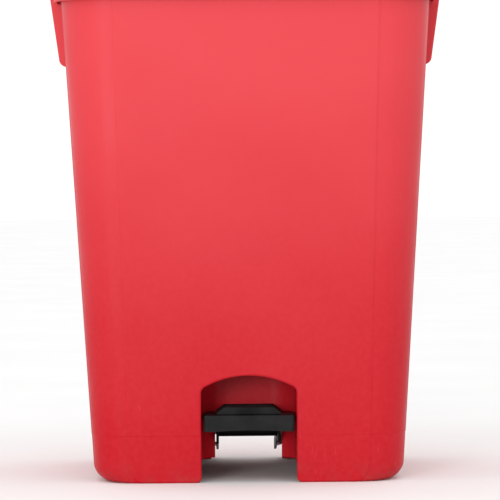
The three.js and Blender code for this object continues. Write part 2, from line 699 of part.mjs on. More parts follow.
// The bearing bracket under the floor, on the +X side.
function pivotBracket() {
  const top = FLOOR_Z - CLEARANCE;
  const cheekEnd = BRACKET_X + BRACKET_CHEEK_T;
  const flangeY = [PIVOT_Y - BRACKET_FLANGE_HALF_Y, PIVOT_Y + BRACKET_FLANGE_HALF_Y];
  const flange = box(BRACKET_X, BRACKET_X + BRACKET_FLANGE_X, ...flangeY, top - BRACKET_FLANGE_T, top);
  const cheek = new THREE.Shape();
  cheek.moveTo(PIVOT_Y - BRACKET_CHEEK_HALF_Y, top);
  cheek.absarc(PIVOT_Y, PIVOT_Z, BEARING_R, Math.PI * 1.05, Math.PI * 1.95, false);
  cheek.lineTo(PIVOT_Y + BRACKET_CHEEK_HALF_Y, top);
  const screwHole = (end) => {
    const y = PIVOT_Y + end * BRACKET_SCREW_STEP;
    return roundZ(BOLT_R + CLEARANCE, BRACKET_SCREW_X, y, PIVOT_Z - AXLE_R * 4, top + 5);
  };
  return cutAll(join(flange, alongX(cheek, BRACKET_X, cheekEnd)), [
    roundX(AXLE_R + CLEARANCE, BRACKET_X - 5, cheekEnd + 4, PIVOT_Y, PIVOT_Z),
    roundX(CAP_ROOM_R, cheekEnd, cheekEnd + BRACKET_FLANGE_X, PIVOT_Y, PIVOT_Z),
    screwHole(-1),
    screwHole(1),
  ]);
}

// ---- Push rod: one steel wire bent into a tall U, hooked into the lever at its feet ----
// Its place is given against the leaning back surface: x across, y out of the surface, z up along it.
const upTheBack = (z) => (z - ROD_DEPTH * Math.sin(LEAN)) / Math.cos(LEAN);
const barZ = upTheBack(HINGE_Z - barReach * Math.sin(LID_SWING / 2));
const hookZ = upTheBack(EYE_Z);

function pushRod() {
  const at = (x, z) => new THREE.Vector3(x, -ROD_DEPTH, z);
  const hookEnd = ARM_X - ARM_T / 2 + CLEARANCE;
  const legs = [
    [at(hookEnd, hookZ), at(ROD_X - HOOK_BEND, hookZ)],
    [at(ROD_X, hookZ + HOOK_BEND), at(ROD_X, barZ - BEND_R)],
    [at(ROD_X - BEND_R, barZ), at(-ROD_X + BEND_R, barZ)],
    [at(-ROD_X, barZ - BEND_R), at(-ROD_X, hookZ + HOOK_BEND)],
    [at(-ROD_X + HOOK_BEND, hookZ), at(-hookEnd, hookZ)],
  ];
  const elbows = [at(ROD_X, hookZ), at(ROD_X, barZ), at(-ROD_X, barZ), at(-ROD_X, hookZ)];
  const route = [legs[0][0]];
  elbows.forEach((elbow, i) => {
    const bend = new THREE.QuadraticBezierCurve3(legs[i][1], elbow, legs[i + 1][0]);
    route.push(...bend.getPoints(6));
  });
  route.push(legs.at(-1)[1]);
  return sweep(route, ROD_R, 12);
}

// A round bar through a list of points in one upright plane, mitred at each point.
function sweep(route, radius, sides) {
  const out = new THREE.Vector3(0, 1, 0);
  const rings = route.map((point, i) => {
    const before = route[Math.max(i - 1, 0)];
    const after = route[Math.min(i + 1, route.length - 1)];
    const inwards = point.clone().sub(before).normalize();
    const onwards = after.clone().sub(point).normalize();
    const along = inwards.clone().add(onwards).normalize();
    const half = Math.max(along.dot(i ? inwards : onwards), 0.5);
    const across = out.clone().cross(along).normalize().divideScalar(half);
    return Array.from({ length: sides }, (_, k) => {
      const angle = (2 * Math.PI * k) / sides;
      return point
        .clone()
        .addScaledVector(across, radius * Math.cos(angle))
        .addScaledVector(out, radius * Math.sin(angle));
    });
  });
  return loft(rings);
}

function barSleeve() {
  const tube = roundX(SLEEVE_R, -SLEEVE_HALF, SLEEVE_HALF, -ROD_DEPTH, barZ);
  return tube.subtract(roundX(ROD_R + CLEARANCE, -SLEEVE_HALF - 5, SLEEVE_HALF + 5, -ROD_DEPTH, barZ));
}

// A guide block that lies across the channel and holds both legs of the rod.
function rodGuide() {
  const half = CHANNEL_HALF_X - 2 * CLEARANCE;
  const past = GUIDE_HALF_Z + 4;
  const block = box(-half, half, -CHANNEL_DEPTH + CLEARANCE, -GUIDE_FACE, -GUIDE_HALF_Z, GUIDE_HALF_Z);
  const cuts = [-1, 1].flatMap((side) => {
    const leg = side * ROD_X;
    const bolt = side * GUIDE_SCREW_X;
    const pocket = side * GUIDE_POCKET_X;
    return [
      roundZ(ROD_R + 0.5, leg, -ROD_DEPTH, -past, past),
      box(leg - GUIDE_SLOT / 2, leg + GUIDE_SLOT / 2, -ROD_DEPTH, 2, -past, past),
      roundY(BOLT_R + CLEARANCE, bolt, -CHANNEL_DEPTH - 10, 5, 0),
      roundY(GUIDE_SCREW_RECESS_R, bolt, -GUIDE_SCREW_RECESS, 5, 0),
      box(
        pocket - GUIDE_POCKET_HALF_X,
        pocket + GUIDE_POCKET_HALF_X,
        -GUIDE_POCKET_DEPTH,
        2,
        -GUIDE_POCKET_HALF_Z,
        GUIDE_POCKET_HALF_Z,
      ),
    ];
  });
  return cutAll(block, cuts);
}

// ---- Lid ----
const LID_CENTRE_Y = (LID_FRONT_Y + LID_BACK_Y) / 2;
const LID_HALF_Y = (LID_BACK_Y - LID_FRONT_Y) / 2;
const LID_PROFILE = [
  [LID_FOOT_Z, 0],
  [613, 1.2],
  [621, 3.6],
  [628, 8.5],
  [633, 16],
  [637, 27],
  [640.5, 44],
  [643.5, 68],
  [646, 100],
  [LID_TOP_Z, 150],
]; // height and how far the edge has come in

function lidForm(offset, lower) {
  return loft(
    LID_PROFILE.map(([z, inset], i) =>
      ring(
        i ? z + offset : z - lower,
        LID_HALF_X - inset + offset,
        LID_HALF_Y - inset + offset,
        Math.max(LID_CORNER_R - inset * 0.3, 20) + offset,
        LID_CENTRE_Y,
      ),
    ),
  );
}

// The rib under the lid: a U in plan, open at the back.
function lidSeal() {
  const frontY = backY(RIM_Z) - CHANNEL_DEPTH - WALL + CLEARANCE;
  const half = CHANNEL_HALF_X + WALL - CLEARANCE;
  const innerHalf = half - SEAL_T;
  const outer = box(-half, half, frontY, LID_BACK_Y - 1, SEAL_Z, LID_TOP_Z);
  return outer.subtract(box(-innerHalf, innerHalf, frontY + SEAL_T, LID_BACK_Y, SEAL_Z - 1, LID_TOP_Z + 1));
}

function lidLip() {
  const lip = new THREE.Shape();
  lip.moveTo(-LIP_ROOT_HALF_X, LID_FRONT_Y + 1);
  lip.lineTo(-LIP_HALF_X, -REACH_Y);
  lip.lineTo(LIP_HALF_X, -REACH_Y);
  lip.lineTo(LIP_ROOT_HALF_X, LID_FRONT_Y + 1);
  return alongZ(lip, LID_FOOT_Z + 2, LID_FOOT_Z + 2 + LIP_T);
}

// The middle part of each hinge, round the pin and rooted in the lid's back wall.
function lidKnuckles() {
  const rootY = LID_BACK_Y - 2.5;
  const rootZ = HINGE_Z + 14;
  const knuckle = new THREE.Shape();
  knuckle.absarc(HINGE_Y, HINGE_Z, KNUCKLE_R, Math.PI, Math.PI * 2.4, false);
  knuckle.lineTo(rootY + 1, rootZ + 2);
  knuckle.lineTo(rootY, rootZ);
  knuckle.lineTo(rootY, HINGE_Z);
  return [-1, 1].map((side) => {
    const middle = side * KNUCKLE_X;
    return alongX(knuckle, middle - KNUCKLE_HALF, middle + KNUCKLE_HALF);
  });
}

function lidBackCut() {
  const [lowY, highY] = LID_BACK_CUT_Y;
  const low = LID_FOOT_Z - 26;
  const past = REACH_Y + 45;
  const outline = [
    [lowY, low],
    [past, low],
    [past, LID_BACK_EDGE_Z],
    [highY, LID_BACK_EDGE_Z],
  ];
  return alongX(outline, -LID_HALF_X * 1.3, LID_HALF_X * 1.3);
}

const eachCatchScrew = (make) => [-1, 1].map((side) => make(side * CATCH_SCREW_X));

function lidShell() {
  const skin = lidForm(0, 0).subtract(lidForm(-LID_T, 5));
  const bumperBoss = ([x, y]) => roundZ(BUMPER_R + 1, x, y, BUMPER_TOP_Z, LID_TOP_Z);
  const catchBoss = (x) => roundZ(BOSS_R, x, CATCH_SCREW_Y, CATCH_TOP_Z, LID_TOP_Z);
  const inside = lidForm(-1, 0);
  const inner = [lidSeal(), ...BUMPER_PLACES.map(bumperBoss), ...eachCatchScrew(catchBoss)];
  const earRooms = EAR_MIDDLES.map((middle) => {
    const half = LUG_T / 2 + 2 * CLEARANCE;
    return roundX(LUG_R + 0.8, middle - half, middle + half, HINGE_Y, HINGE_Z);
  });
  const whole = join(skin, lidLip(), ...inner.map((shape) => shape.intersect(inside)));
  const trimmed = cutAll(whole, [lidBackCut(), ...earRooms]);
  const bumperHole = ([x, y]) => roundZ(BUMPER_STEM_R + CLEARANCE, x, y, BUMPER_TOP_Z - 1, BUMPER_TOP_Z + 7);
  const holeTop = CATCH_TOP_Z + CATCH_SCREW_LENGTH - CATCH_PLATE_T + 2 * CLEARANCE;
  const catchHole = (x) => roundZ(BOLT_R + CLEARANCE, x, CATCH_SCREW_Y, CATCH_TOP_Z - 1, holeTop);
  const holes = [pinHole(), ...BUMPER_PLACES.map(bumperHole), ...eachCatchScrew(catchHole)];
  return piece("lid_shell", cutAll(join(trimmed, ...lidKnuckles()), holes), red);
}

// The fork under the lid that holds the rod's cross bar: two slotted cheeks below a screwed plate.
function rodCatch() {
  const drop = LID_SWING / 2 + FORK_TURN;
  const along = (r, t) => [
    HINGE_Y - r * Math.cos(drop) - t * Math.sin(drop),
    HINGE_Z - r * Math.sin(drop) + t * Math.cos(drop),
  ];
  const reach = barReach + SLEEVE_R + 1;
  const slotHalf = SLEEVE_R + FORK_SLIP + RUNNING;
  const prongHalf = slotHalf + FORK_PRONG_T;
  const top = CATCH_TOP_Z - CLEARANCE;
  const cheek = [
    along(reach, slotHalf),
    along(FORK_SLOT_ROOT, slotHalf),
    along(FORK_SLOT_ROOT, -slotHalf),
    along(reach, -slotHalf),
    along(reach, -prongHalf),
    along(FORK_ROOT, -prongHalf),
    along(FORK_ROOT, prongHalf - 2),
    [CATCH_BACK_Y, CATCH_HEEL_Z],
    [CATCH_BACK_Y, top],
    [CATCH_FRONT_Y, top],
    along(reach, prongHalf),
  ];
  const plate = box(-CATCH_HALF, CATCH_HALF, CATCH_FRONT_Y, CATCH_BACK_Y, top - CATCH_PLATE_T, top);
  const rightCheek = alongX(cheek.toReversed(), CATCH_HALF - CATCH_CHEEK_T, CATCH_HALF);
  const hole = (x) => roundZ(BOLT_R + CLEARANCE, x, CATCH_SCREW_Y, top - 10, top + 5);
  const whole = join(plate, mirrored(rightCheek), rightCheek);
  return piece("rod_catch", cutAll(whole, eachCatchScrew(hole)), black);
}

function lidBumper(name, x, y) {
  const foot = RIM_Z + CLEARANCE;
  const button = roundZ(BUMPER_R, x, y, foot, BUMPER_TOP_Z - CLEARANCE);
  return piece(name, join(button, roundZ(BUMPER_STEM_R, x, y, foot, BUMPER_TOP_Z + 6)), rubber);
}

// A hinge pin with a round head, through both ears and the lid's knuckle.
function hingePin(name, side) {
  const half = KNUCKLE_HALF + CLEARANCE + LUG_T;
  const middle = side * KNUCKLE_X;
  const shank = roundX(HINGE_PIN_R, middle - half - 1.5, middle + half + 1.5, HINGE_Y, HINGE_Z);
  const headStart = middle + side * (half + CLEARANCE);
  const headEnd = headStart + side * 2.5;
  const headX = [headStart, headEnd].sort((a, b) => a - b);
  const head = roundX(HINGE_PIN_HEAD_R, ...headX, HINGE_Y, HINGE_Z);
  return piece(name, join(shank, head), nylon);
}

// ---- Assembly ----
const bin = new THREE.Group();

bin.add(piece("body_shell", bodyShell(), red));
bin.add(piece("pivot_bracket_right", pivotBracket(), black));
bin.add(piece("pivot_bracket_left", mirrored(pivotBracket()), black));
bin.add(hingePin("hinge_pin_left", -1), hingePin("hinge_pin_right", 1));

const bracketScrewNames = ["left_front", "left_rear", "right_front", "right_rear"];
const bracketScrewZ = FLOOR_Z - 2 * CLEARANCE - BRACKET_FLANGE_T;
eachBracketScrew((x, y) => new THREE.Vector3(x, y, bracketScrewZ)).forEach((place, i) => {
  const made = screw(`bracket_screw_${bracketScrewNames[i]}`, BRACKET_SCREW_LENGTH);
  made.position.copy(place);
  bin.add(made);
});

// Everything on the leaning back face sits in one tilted group.
const back = new THREE.Group();
back.position.y = BASE_HALF_Y;
back.rotation.x = -LEAN;
bin.add(back);
["rod_guide_lower", "rod_guide_upper"].forEach((name, i) => {
  const guide = piece(name, rodGuide(), black);
  guide.position.z = GUIDE_HEIGHTS[i];
  back.add(guide);
});
const guideScrewNames = ["lower_left", "lower_right", "upper_left", "upper_right"];
eachGuideScrew((x, z) => new THREE.Vector3(x, CLEARANCE - GUIDE_SCREW_RECESS, z)).forEach((place, i) => {
  const made = screw(`guide_screw_${guideScrewNames[i]}`, GUIDE_SCREW_LENGTH);
  made.position.copy(place);
  made.rotation.x = Math.PI / 2;
  back.add(made);
});
back.add(piece("push_rod", pushRod(), steel), piece("bar_sleeve", barSleeve(), nylon));

bin.add(pedalLever(), treadPad(), pivotAxle());
bin.add(piece("axle_cap_right", axleCap(), nylon), piece("axle_cap_left", mirrored(axleCap()), nylon));

bin.add(lidShell(), rodCatch());
["front_left", "front_right", "side_left", "side_right"].forEach((name, i) =>
  bin.add(lidBumper(`lid_bumper_${name}`, ...BUMPER_PLACES[i])),
);
eachCatchScrew((x) => {
  const made = screw(`catch_screw_${x < 0 ? "left" : "right"}`, CATCH_SCREW_LENGTH);
  made.position.set(x, CATCH_SCREW_Y, CATCH_TOP_Z - 2 * CLEARANCE - CATCH_PLATE_T);
  bin.add(made);
});

export default bin;
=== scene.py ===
import json
import math

import bmesh
import bpy
from mathutils import Matrix, Vector


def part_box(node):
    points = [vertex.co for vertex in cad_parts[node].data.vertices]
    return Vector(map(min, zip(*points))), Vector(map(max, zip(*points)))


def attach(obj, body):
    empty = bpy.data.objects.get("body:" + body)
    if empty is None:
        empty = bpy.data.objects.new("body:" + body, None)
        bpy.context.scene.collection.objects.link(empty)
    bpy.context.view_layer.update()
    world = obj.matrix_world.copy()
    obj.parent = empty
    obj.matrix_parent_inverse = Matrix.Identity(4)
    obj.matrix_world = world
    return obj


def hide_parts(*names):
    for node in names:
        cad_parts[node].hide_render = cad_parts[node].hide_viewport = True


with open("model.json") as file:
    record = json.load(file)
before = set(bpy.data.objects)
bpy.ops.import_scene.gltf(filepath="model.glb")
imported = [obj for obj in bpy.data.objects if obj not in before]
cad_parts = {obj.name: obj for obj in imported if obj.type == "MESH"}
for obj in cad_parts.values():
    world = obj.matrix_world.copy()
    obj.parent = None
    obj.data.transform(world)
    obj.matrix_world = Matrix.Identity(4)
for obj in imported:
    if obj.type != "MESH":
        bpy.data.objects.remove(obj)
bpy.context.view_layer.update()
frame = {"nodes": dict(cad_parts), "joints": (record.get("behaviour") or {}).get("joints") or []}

# A pedal bin's looks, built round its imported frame. Shapes are worked out in millimetres and turned into
# metres as each mesh is made. Outlines are in (y, z) along X, in (x, z) along Y, and in (x, y) along Z.
MM = 0.001
BOOLEAN_SOLVER = "EXACT"
BEVEL_ANGLE = 35  # a bevel rounds the edges that are sharper than this
SHARP_ANGLE = 32  # shading stays crisp at the edges that are sharper than this
CORNER_STEPS = 16
ROUND_SIDES = 48
WIRE_SIDES = 24


# ---- Measures taken from the frame ----
def span(node):
    """The lowest and highest corner of a CAD node, in millimetres."""
    low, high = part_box(node)
    return low / MM, high / MM


def wall_at(z, side):
    """How far the CAD shell's outer face is from its middle at height z, seen from one side."""
    far, across = 400, 90  # outside the bin, and to one side of the foot opening and the rod channel
    start = Vector((side[0] * far + side[1] * across, side[1] * far + side[0] * across, z)) * MM
    hit, place, _, _ = frame["nodes"]["body_shell"].ray_cast(start, -Vector((*side, 0)))
    assert hit, "the shell has a wall here"
    return place.to_2d().dot(Vector(side)) / MM


def joint(name):
    """What the frame says of a joint."""
    return next(found for found in frame["joints"] if found["name"] == name)


def joint_axis(name):
    """The (y, z) of a joint's axis, in millimetres."""
    place = joint(name)["pos_m"]
    return place[1] / MM, place[2] / MM


def middle_of(node):
    """The (x, y) of a CAD node's middle, in millimetres."""
    low, high = span(node)
    return (low.x + high.x) / 2, (low.y + high.y) / 2


LOW_Z, HIGH_Z = 100, 400
TAPER = (wall_at(HIGH_Z, (1, 0)) - wall_at(LOW_Z, (1, 0))) / (HIGH_Z - LOW_Z)
BASE_HALF_X = wall_at(LOW_Z, (1, 0)) - TAPER * LOW_Z
BASE_HALF_Y = wall_at(LOW_Z, (0, -1)) - TAPER * LOW_Z
LEAN = math.atan(TAPER)
GAP = 0.3
RIM_Z = span("lid_bumper_side_left")[0].z - GAP
HINGE = HINGE_Y, HINGE_Z = joint_axis("lid_hinge")
PIVOT = joint_axis("pedal_pivot")
PIVOT_Y = PIVOT[0]
LID_SWING = math.radians(joint("lid_hinge")["range_deg"][1])
BUMPERS = ("front_left", "front_right", "side_left", "side_right")

# ---- Sizes of the body ----
WALL = 3.2
CORNER_BASE_R, CORNER_RIM_R = 38, 59
SIDE_EDGE_R = 20
FRONT_EDGE_R = 2.5
PANEL_STEP = 1.2  # the flat faces stand this proud of the round corners
PANEL_STEP_WIDTH = 4
BAND_Z = 54  # a faint line round the body at the container's floor
BAND_STEP = 0.3
FLOOR_TOP = BAND_Z + 4
INNER_FOOT_R = 8
INNER_LIP_R = 1.3
COLLAR_Z = 541
COLLAR_OUT = 8
COLLAR_T = 3
COLLAR_EDGE_R = 1.4
COLLAR_GAP_Z = 572
CHANNEL_HALF_X = 50
CHANNEL_DEPTH = 20
CHANNEL_EDGE_R = 1.8
CHANNEL_ROOT_R = 3
CHANNEL_PAST = 20  # how far behind the back face the channel's cuts begin
HOLE_END_WALL = 2.5
BACK_OPENING_HALF_X = 43
SKIRT_Z = 23
SKIRT_GAP_X = 38.2
BOSS_R = 5
HOLE_R = 2.3
BRACKET_SCREW_X = 70
BRACKET_SCREW_STEP = 14
BRACKET_SCREW_LENGTH = 11
BRACKET_PLATE_T = 4
FLOOR_BOSS_Z = 64
GUIDE_HEIGHTS = (140, 470)
GUIDE_SCREW_X = 18
GUIDE_SCREW_LENGTH = 20
GUIDE_SCREW_DEPTH = 6  # how far in from the back face the guides' screw heads sit
GUIDE_BOSS_DEPTH = CHANNEL_DEPTH + WALL + 8

# ---- Sizes of the foot opening ----
NICHE_HALF_X = 53.5
NICHE_APEX_Z = 120.6
NICHE_ARCH_R = 103
NICHE_SHOULDER_R = 8
NICHE_FOOT_R = 6
NICHE_BACK_Y = -92
NICHE_PLAN_R = 30
NICHE_EDGE_R = 3
NICHE_CUT_START, NICHE_CUT_END = -30, 100  # behind the front face, from before it to past the niche

# ---- Sizes of the side handles ----
WING_HALF_Y = 95
WING_FOOT_Z = 470
WING_TOP_Z = 578
WING_FOOT_X = 212.5
WING_SLOPE = 0.128
WING_T = 3
WING_FOOT_R = 9
GRIP_HALF_Y = 78
GRIP_TOP_Z = 494
GRIP_R = 14
SCOOP_HALF_Y = 74
SCOOP_LOW_Z, SCOOP_HIGH_Z = 495, 567
SCOOP_DEPTH = 12
SCOOP_SLOPE = 12
SCOOP_MOUTH = 3.5
SCOOP_SPREAD = 1.4  # how much longer each end gets for every millimetre of growth

# ---- Sizes of the hinge ----
LUG_R = 7
LUG_T = 6
KNUCKLE_R = 6.5
KNUCKLE_X = 75
KNUCKLE_HALF = 8.5
HINGE_PIN_R = 3
PIN_HEAD_R = 4.5
EAR_ROOT_Y, EAR_ROOT_Z = 200, 568
EAR_FRONT_Y = 203.7
KNUCKLE_TOP_Z = 619

# ---- Sizes of the lid ----
LID_FRONT_Y = -209
LID_BACK_Y = 203
LID_HALF_X = span("lid_shell")[1].x
LID_FOOT_Z = span("lid_shell")[0].z
LID_TOP_Z = span("lid_shell")[1].z
LID_CORNER_R = 70
LID_T = 3
LID_BACK_EDGE_Z = 601
LID_LIP_Y = span("lid_shell")[0].y
SEAL_T = 2.6
SEAL_Z = 601.2
BUMPER_R = 5
BUMPER_TOP_Z = 606
CATCH_SCREW_Y = 189
CATCH_SCREW_X = 9
CATCH_TOP_Z = 622
CATCH_SCREW_LENGTH = 9
CATCH_PLATE_T = 4
CATCH_HOLE_DEPTH = 5.6
LID_MIDDLE_Y = (LID_FRONT_Y + LID_BACK_Y) / 2
LID_HALF_Y = (LID_BACK_Y - LID_FRONT_Y) / 2
LID_EDGE = ((0.9, 0), (0.3, 0.5), (0, 1.4), (0, 6), (0.25, 7))  # its lower edge: how far in, how far up
SHOULDER_FOOT, SHOULDER_TOP = Vector((1.2, 613)), Vector((16, 633))
CROWN_INSET = 150
PANEL_INSET = 38
LID_RIB_T = 1.8
LID_RIB_DEPTH = 16
LID_RIB_PLACES = (-130, -65, 0, 65, 130)

# ---- Sizes of the lever, its tread and the push rod ----
RUNNING = 0.4
AXLE_R = 3.5
AXLE_TUBE_R = 6
AXLE_CAP_R = 6.5
ROD_R = 3
ROD_DEPTH = 5
ROD_X = 44
BEND_R = 11
HOOK_R = 6
SLEEVE_R = 4.5
SLEEVE_HALF_X = 25
ARM_X = 35.3
ARM_T = 3
EYE_Z = 17
EYE_Y = BASE_HALF_Y + TAPER * EYE_Z - ROD_DEPTH / math.cos(LEAN)
EYE_R = 7
EYE_SLIP = 1.1
TREAD_HALF_X = 51
TREAD_FRONT_Y = span("pedal_lever")[0].y
TREAD_BACK_Y = -100
TREAD_Z = 76.5
TREAD_FOOT_Z = 58
TREAD_T = 4
TREAD_SIDE_T = 3.2
TREAD_CORNER_R = 3.5
TREAD_CLEARANCE = 2.5
TREAD_EDGE_R = 1.4
TREAD_BOW = 1.4
DECK_RIB_T = 2.4
DECK_RIB_PLACES = (-18, 0, 18)
STUD_R = 2.1
STUD_HOLE_R = 2.4
STUD_PLACES = [(-18, -131), (18, -131)]
PAD_FOOT_X, PAD_HEAD_X = 36.5, 28
PAD_EDGE = 1.5


# ---- Mesh kit ----
def mesh_object(name, bm):
    """Turns a closed bmesh in millimetres into an object in metres, its faces pointing out."""
    bmesh.ops.recalc_face_normals(bm, faces=bm.faces)
    bm.transform(Matrix.Scale(MM, 4))
    mesh = bpy.data.meshes.new(name)
    bm.to_mesh(mesh)
    bm.free()
    made = bpy.data.objects.new(name, mesh)
    bpy.context.scene.collection.objects.link(made)
    return made


def loft(rings):
    """The closed solid through a stack of rings that have equally many points."""
    bm = bmesh.new()
    rows = [[bm.verts.new(point) for point in ring] for ring in rings]
    count = len(rows[0])
    for low, high in zip(rows, rows[1:]):
        for i in range(count):
            after = (i + 1) % count
            bm.faces.new((low[i], low[after], high[after], high[i]))
    bm.faces.new(rows[0][::-1])
    bm.faces.new(rows[-1])
    return mesh_object("form", bm)


def placed(axis, a, b, along):
    """The point at (a, b) of an outline that is drawn out along an axis."""
    return {"X": (along, a, b), "Y": (a, along, b), "Z": (a, b, along)}[axis]


def prism(outline, axis, start, end):
    return loft([[placed(axis, a, b, along) for a, b in outline] for along in (start, end)])


def block(x0, x1, y0, y1, z0, z1):
    return prism([(x0, y0), (x1, y0), (x1, y1), (x0, y1)], "Z", z0, z1)


def arc(centre, radius, start, end, steps):
    """Points along an arc, from one angle in degrees to another."""
    angles = [math.radians(start + (end - start) * i / steps) for i in range(steps + 1)]
    return [(centre[0] + radius * math.cos(t), centre[1] + radius * math.sin(t)) for t in angles]


def turned(profile, axis, centre, sides=ROUND_SIDES):
    """A turned solid: a list of (radius, place along the axis), closed by a flat face at each end."""
    return loft(
        [
            [placed(axis, a, b, along) for a, b in arc(centre, radius, 0, 360 - 360 / sides, sides - 1)]
            for radius, along in profile
        ]
    )


def rod(radius, axis, start, end, centre):
    return turned([(radius, start), (radius, end)], axis, centre)


def soft_ended(radius, start, end, edge=0.6):
    """The profile of a round bar whose ends have rounded edges."""
    turn = 1 if end > start else -1
    steps = [math.radians(t) for t in (0, 30, 60, 90)]
    foot = [(radius - edge + edge * math.sin(t), start + turn * edge * (1 - math.cos(t))) for t in steps]
    head = [(r, end - (along - start)) for r, along in foot]
    return foot + head[::-1]


def applied(thing):
    """Makes a piece's modifiers part of its mesh."""
    depsgraph = bpy.context.evaluated_depsgraph_get()
    made = bpy.data.meshes.new_from_object(thing.evaluated_get(depsgraph))
    thing.modifiers.clear()
    before = thing.data
    thing.data = made
    bpy.data.meshes.remove(before)
    return thing


def closed(thing):
    """True if every edge of a mesh has a face on both sides."""
    bm = bmesh.new()
    bm.from_mesh(thing.data)
    sound = bool(bm.faces) and all(edge.is_manifold for edge in bm.edges)
    bm.free()
    return sound


def combined(operation, base, others):
    assert closed(base), "a boolean starts from a closed solid"
    for other in others:
        assert closed(other), "a boolean takes closed solids"
        modifier = base.modifiers.new(operation, "BOOLEAN")
        modifier.operation = operation
        modifier.solver = BOOLEAN_SOLVER
        modifier.object = other
    applied(base)
    for other in others:
        bpy.data.meshes.remove(other.data)
    return base


def join(base, *others):
    return combined("UNION", base, others)


def cut(base, *others):
    return combined("DIFFERENCE", base, others)


def common(base, *others):
    return combined("INTERSECT", base, others)


def cleaned(thing):
    """Takes away the stray points and edges that a boolean leaves on flat faces."""
    bm = bmesh.new()
    bm.from_mesh(thing.data)
    bmesh.ops.remove_doubles(bm, verts=bm.verts, dist=2e-6)
    bmesh.ops.dissolve_limit(bm, angle_limit=math.radians(0.5), verts=bm.verts, edges=bm.edges)
    bm.to_mesh(thing.data)
    bm.free()
    return thing


def rounded(thing, width, segments=3, angle=BEVEL_ANGLE):
    """Rounds every edge of a simple solid that is sharper than an angle."""
    cleaned(thing)
    bevel = thing.modifiers.new("round", "BEVEL")
    bevel.width = width * MM
    bevel.segments = segments
    bevel.limit_method = "ANGLE"
    bevel.angle_limit = math.radians(angle)
    return applied(thing)


def moved(thing, matrix):
    thing.data.transform(matrix)
    return thing


def shifted(thing, x, y, z):
    return moved(thing, Matrix.Translation(Vector((x, y, z)) * MM))


def mirrored(thing):
    """A copy on the other side of the middle plane."""
    bm = bmesh.new()
    bm.from_mesh(thing.data)
    bm.transform(Matrix.Scale(1 / MM, 4) @ Matrix.Scale(-1, 4, (1, 0, 0)))
    return mesh_object("mirrored", bm)


def both(thing):
    return [thing, mirrored(thing)]


def tilted(thing):
    """Lays a solid that was built against an upright back face onto the leaning one."""
    return moved(thing, Matrix.Translation((0, BASE_HALF_Y * MM, 0)) @ Matrix.Rotation(-LEAN, 4, "X"))


def on_hinge(radius, start, end):
    """A round bar along the lid's hinge axis."""
    return rod(radius, "X", start, end, HINGE)


def finished(thing, name, body, material, slot, *nodes):
    """Names a piece, smooths its shading and ties it to its CAD body and nodes."""
    thing.name = thing.data.name = name
    thing.data.materials.clear()
    thing.data.materials.append(material)
    thing.data.shade_smooth()
    thing.data.set_sharp_from_angle(angle=math.radians(SHARP_ANGLE))
    even = thing.modifiers.new("even_shading", "WEIGHTED_NORMAL")
    even.keep_sharp = True
    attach(thing, body)
    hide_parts(*nodes)
    return thing


def dressed(node, material):
    """Keeps a CAD node's shape, rounds its edges a little and gives it a material."""
    thing = frame["nodes"][node]
    weld = thing.modifiers.new("weld", "WELD")
    weld.merge_threshold = 1e-5
    plain = thing.modifiers.new("plain_faces", "DECIMATE")
    plain.decimate_type = "DISSOLVE"
    plain.angle_limit = math.radians(1)
    bevel = thing.modifiers.new("edges", "BEVEL")
    bevel.width = 0.4 * MM
    bevel.segments = 2
    bevel.limit_method = "ANGLE"
    bevel.angle_limit = math.radians(BEVEL_ANGLE)
    bevel.harden_normals = True
    thing.data.materials.clear()
    thing.data.materials.append(material)
    return thing


# ---- The body's outer form ----
def half_x_at(z):
    return BASE_HALF_X + TAPER * z


def half_y_at(z):
    return BASE_HALF_Y + TAPER * z


def corner_r(z):
    """The round corners grow from the base to the rim."""
    return CORNER_BASE_R + (CORNER_RIM_R - CORNER_BASE_R) * z / RIM_Z


def smoothstep(t):
    """A step from 0 to 1 that starts and ends softly."""
    t = min(max(t, 0), 1)
    return t * t * (3 - 2 * t)


def round_under(radius, z):
    """How far a rounded lower edge is drawn in at height z."""
    up = max(0, radius - max(0, z))
    return radius - math.sqrt(radius * radius - up * up)


def ring(z, half_x, half_y, radius, relief=0, centre_y=0):
    """A rectangle with round corners, which may lie a little lower than its flat sides."""
    run_in = [(relief * smoothstep(i / 4), PANEL_STEP_WIDTH * (1 - i / 4)) for i in range(4)]
    corner = [(radius - drop, -back) for drop, back in run_in]
    corner += arc((0, 0), radius - relief, 0, 90, CORNER_STEPS)
    corner += [(-back, radius - drop) for drop, back in reversed(run_in)]
    points = []
    for quarter, (side_x, side_y) in enumerate(((1, 1), (-1, 1), (-1, -1), (1, -1))):
        turn = Matrix.Rotation(quarter * math.pi / 2, 2)
        middle = Vector((side_x * (half_x - radius), centre_y + side_y * (half_y - radius)))
        points += [(*(middle + turn @ Vector(point)), z) for point in corner]
    return points


def body_ring(z, offset, relief=0):
    """The body's outline at height z, moved out by an offset."""
    return ring(
        z,
        half_x_at(z) - round_under(SIDE_EDGE_R, z) + offset,
        half_y_at(z) - round_under(FRONT_EDGE_R, z) + offset,
        corner_r(z) + offset,
        relief,
    )


def levels(start, end, step=45):
    """Heights between two others, close enough for the corners' changing radius."""
    count = max(1, math.ceil((end - start) / step))
    return [start + (end - start) * i / count for i in range(count + 1)]


def quarter_steps(radius, count=8):
    """How far in and how far up each step of a rounded edge is."""
    angles = [math.pi / 2 * i / count for i in range(count + 1)]
    return [(radius * (1 - math.sin(t)), radius * (1 - math.cos(t))) for t in angles]


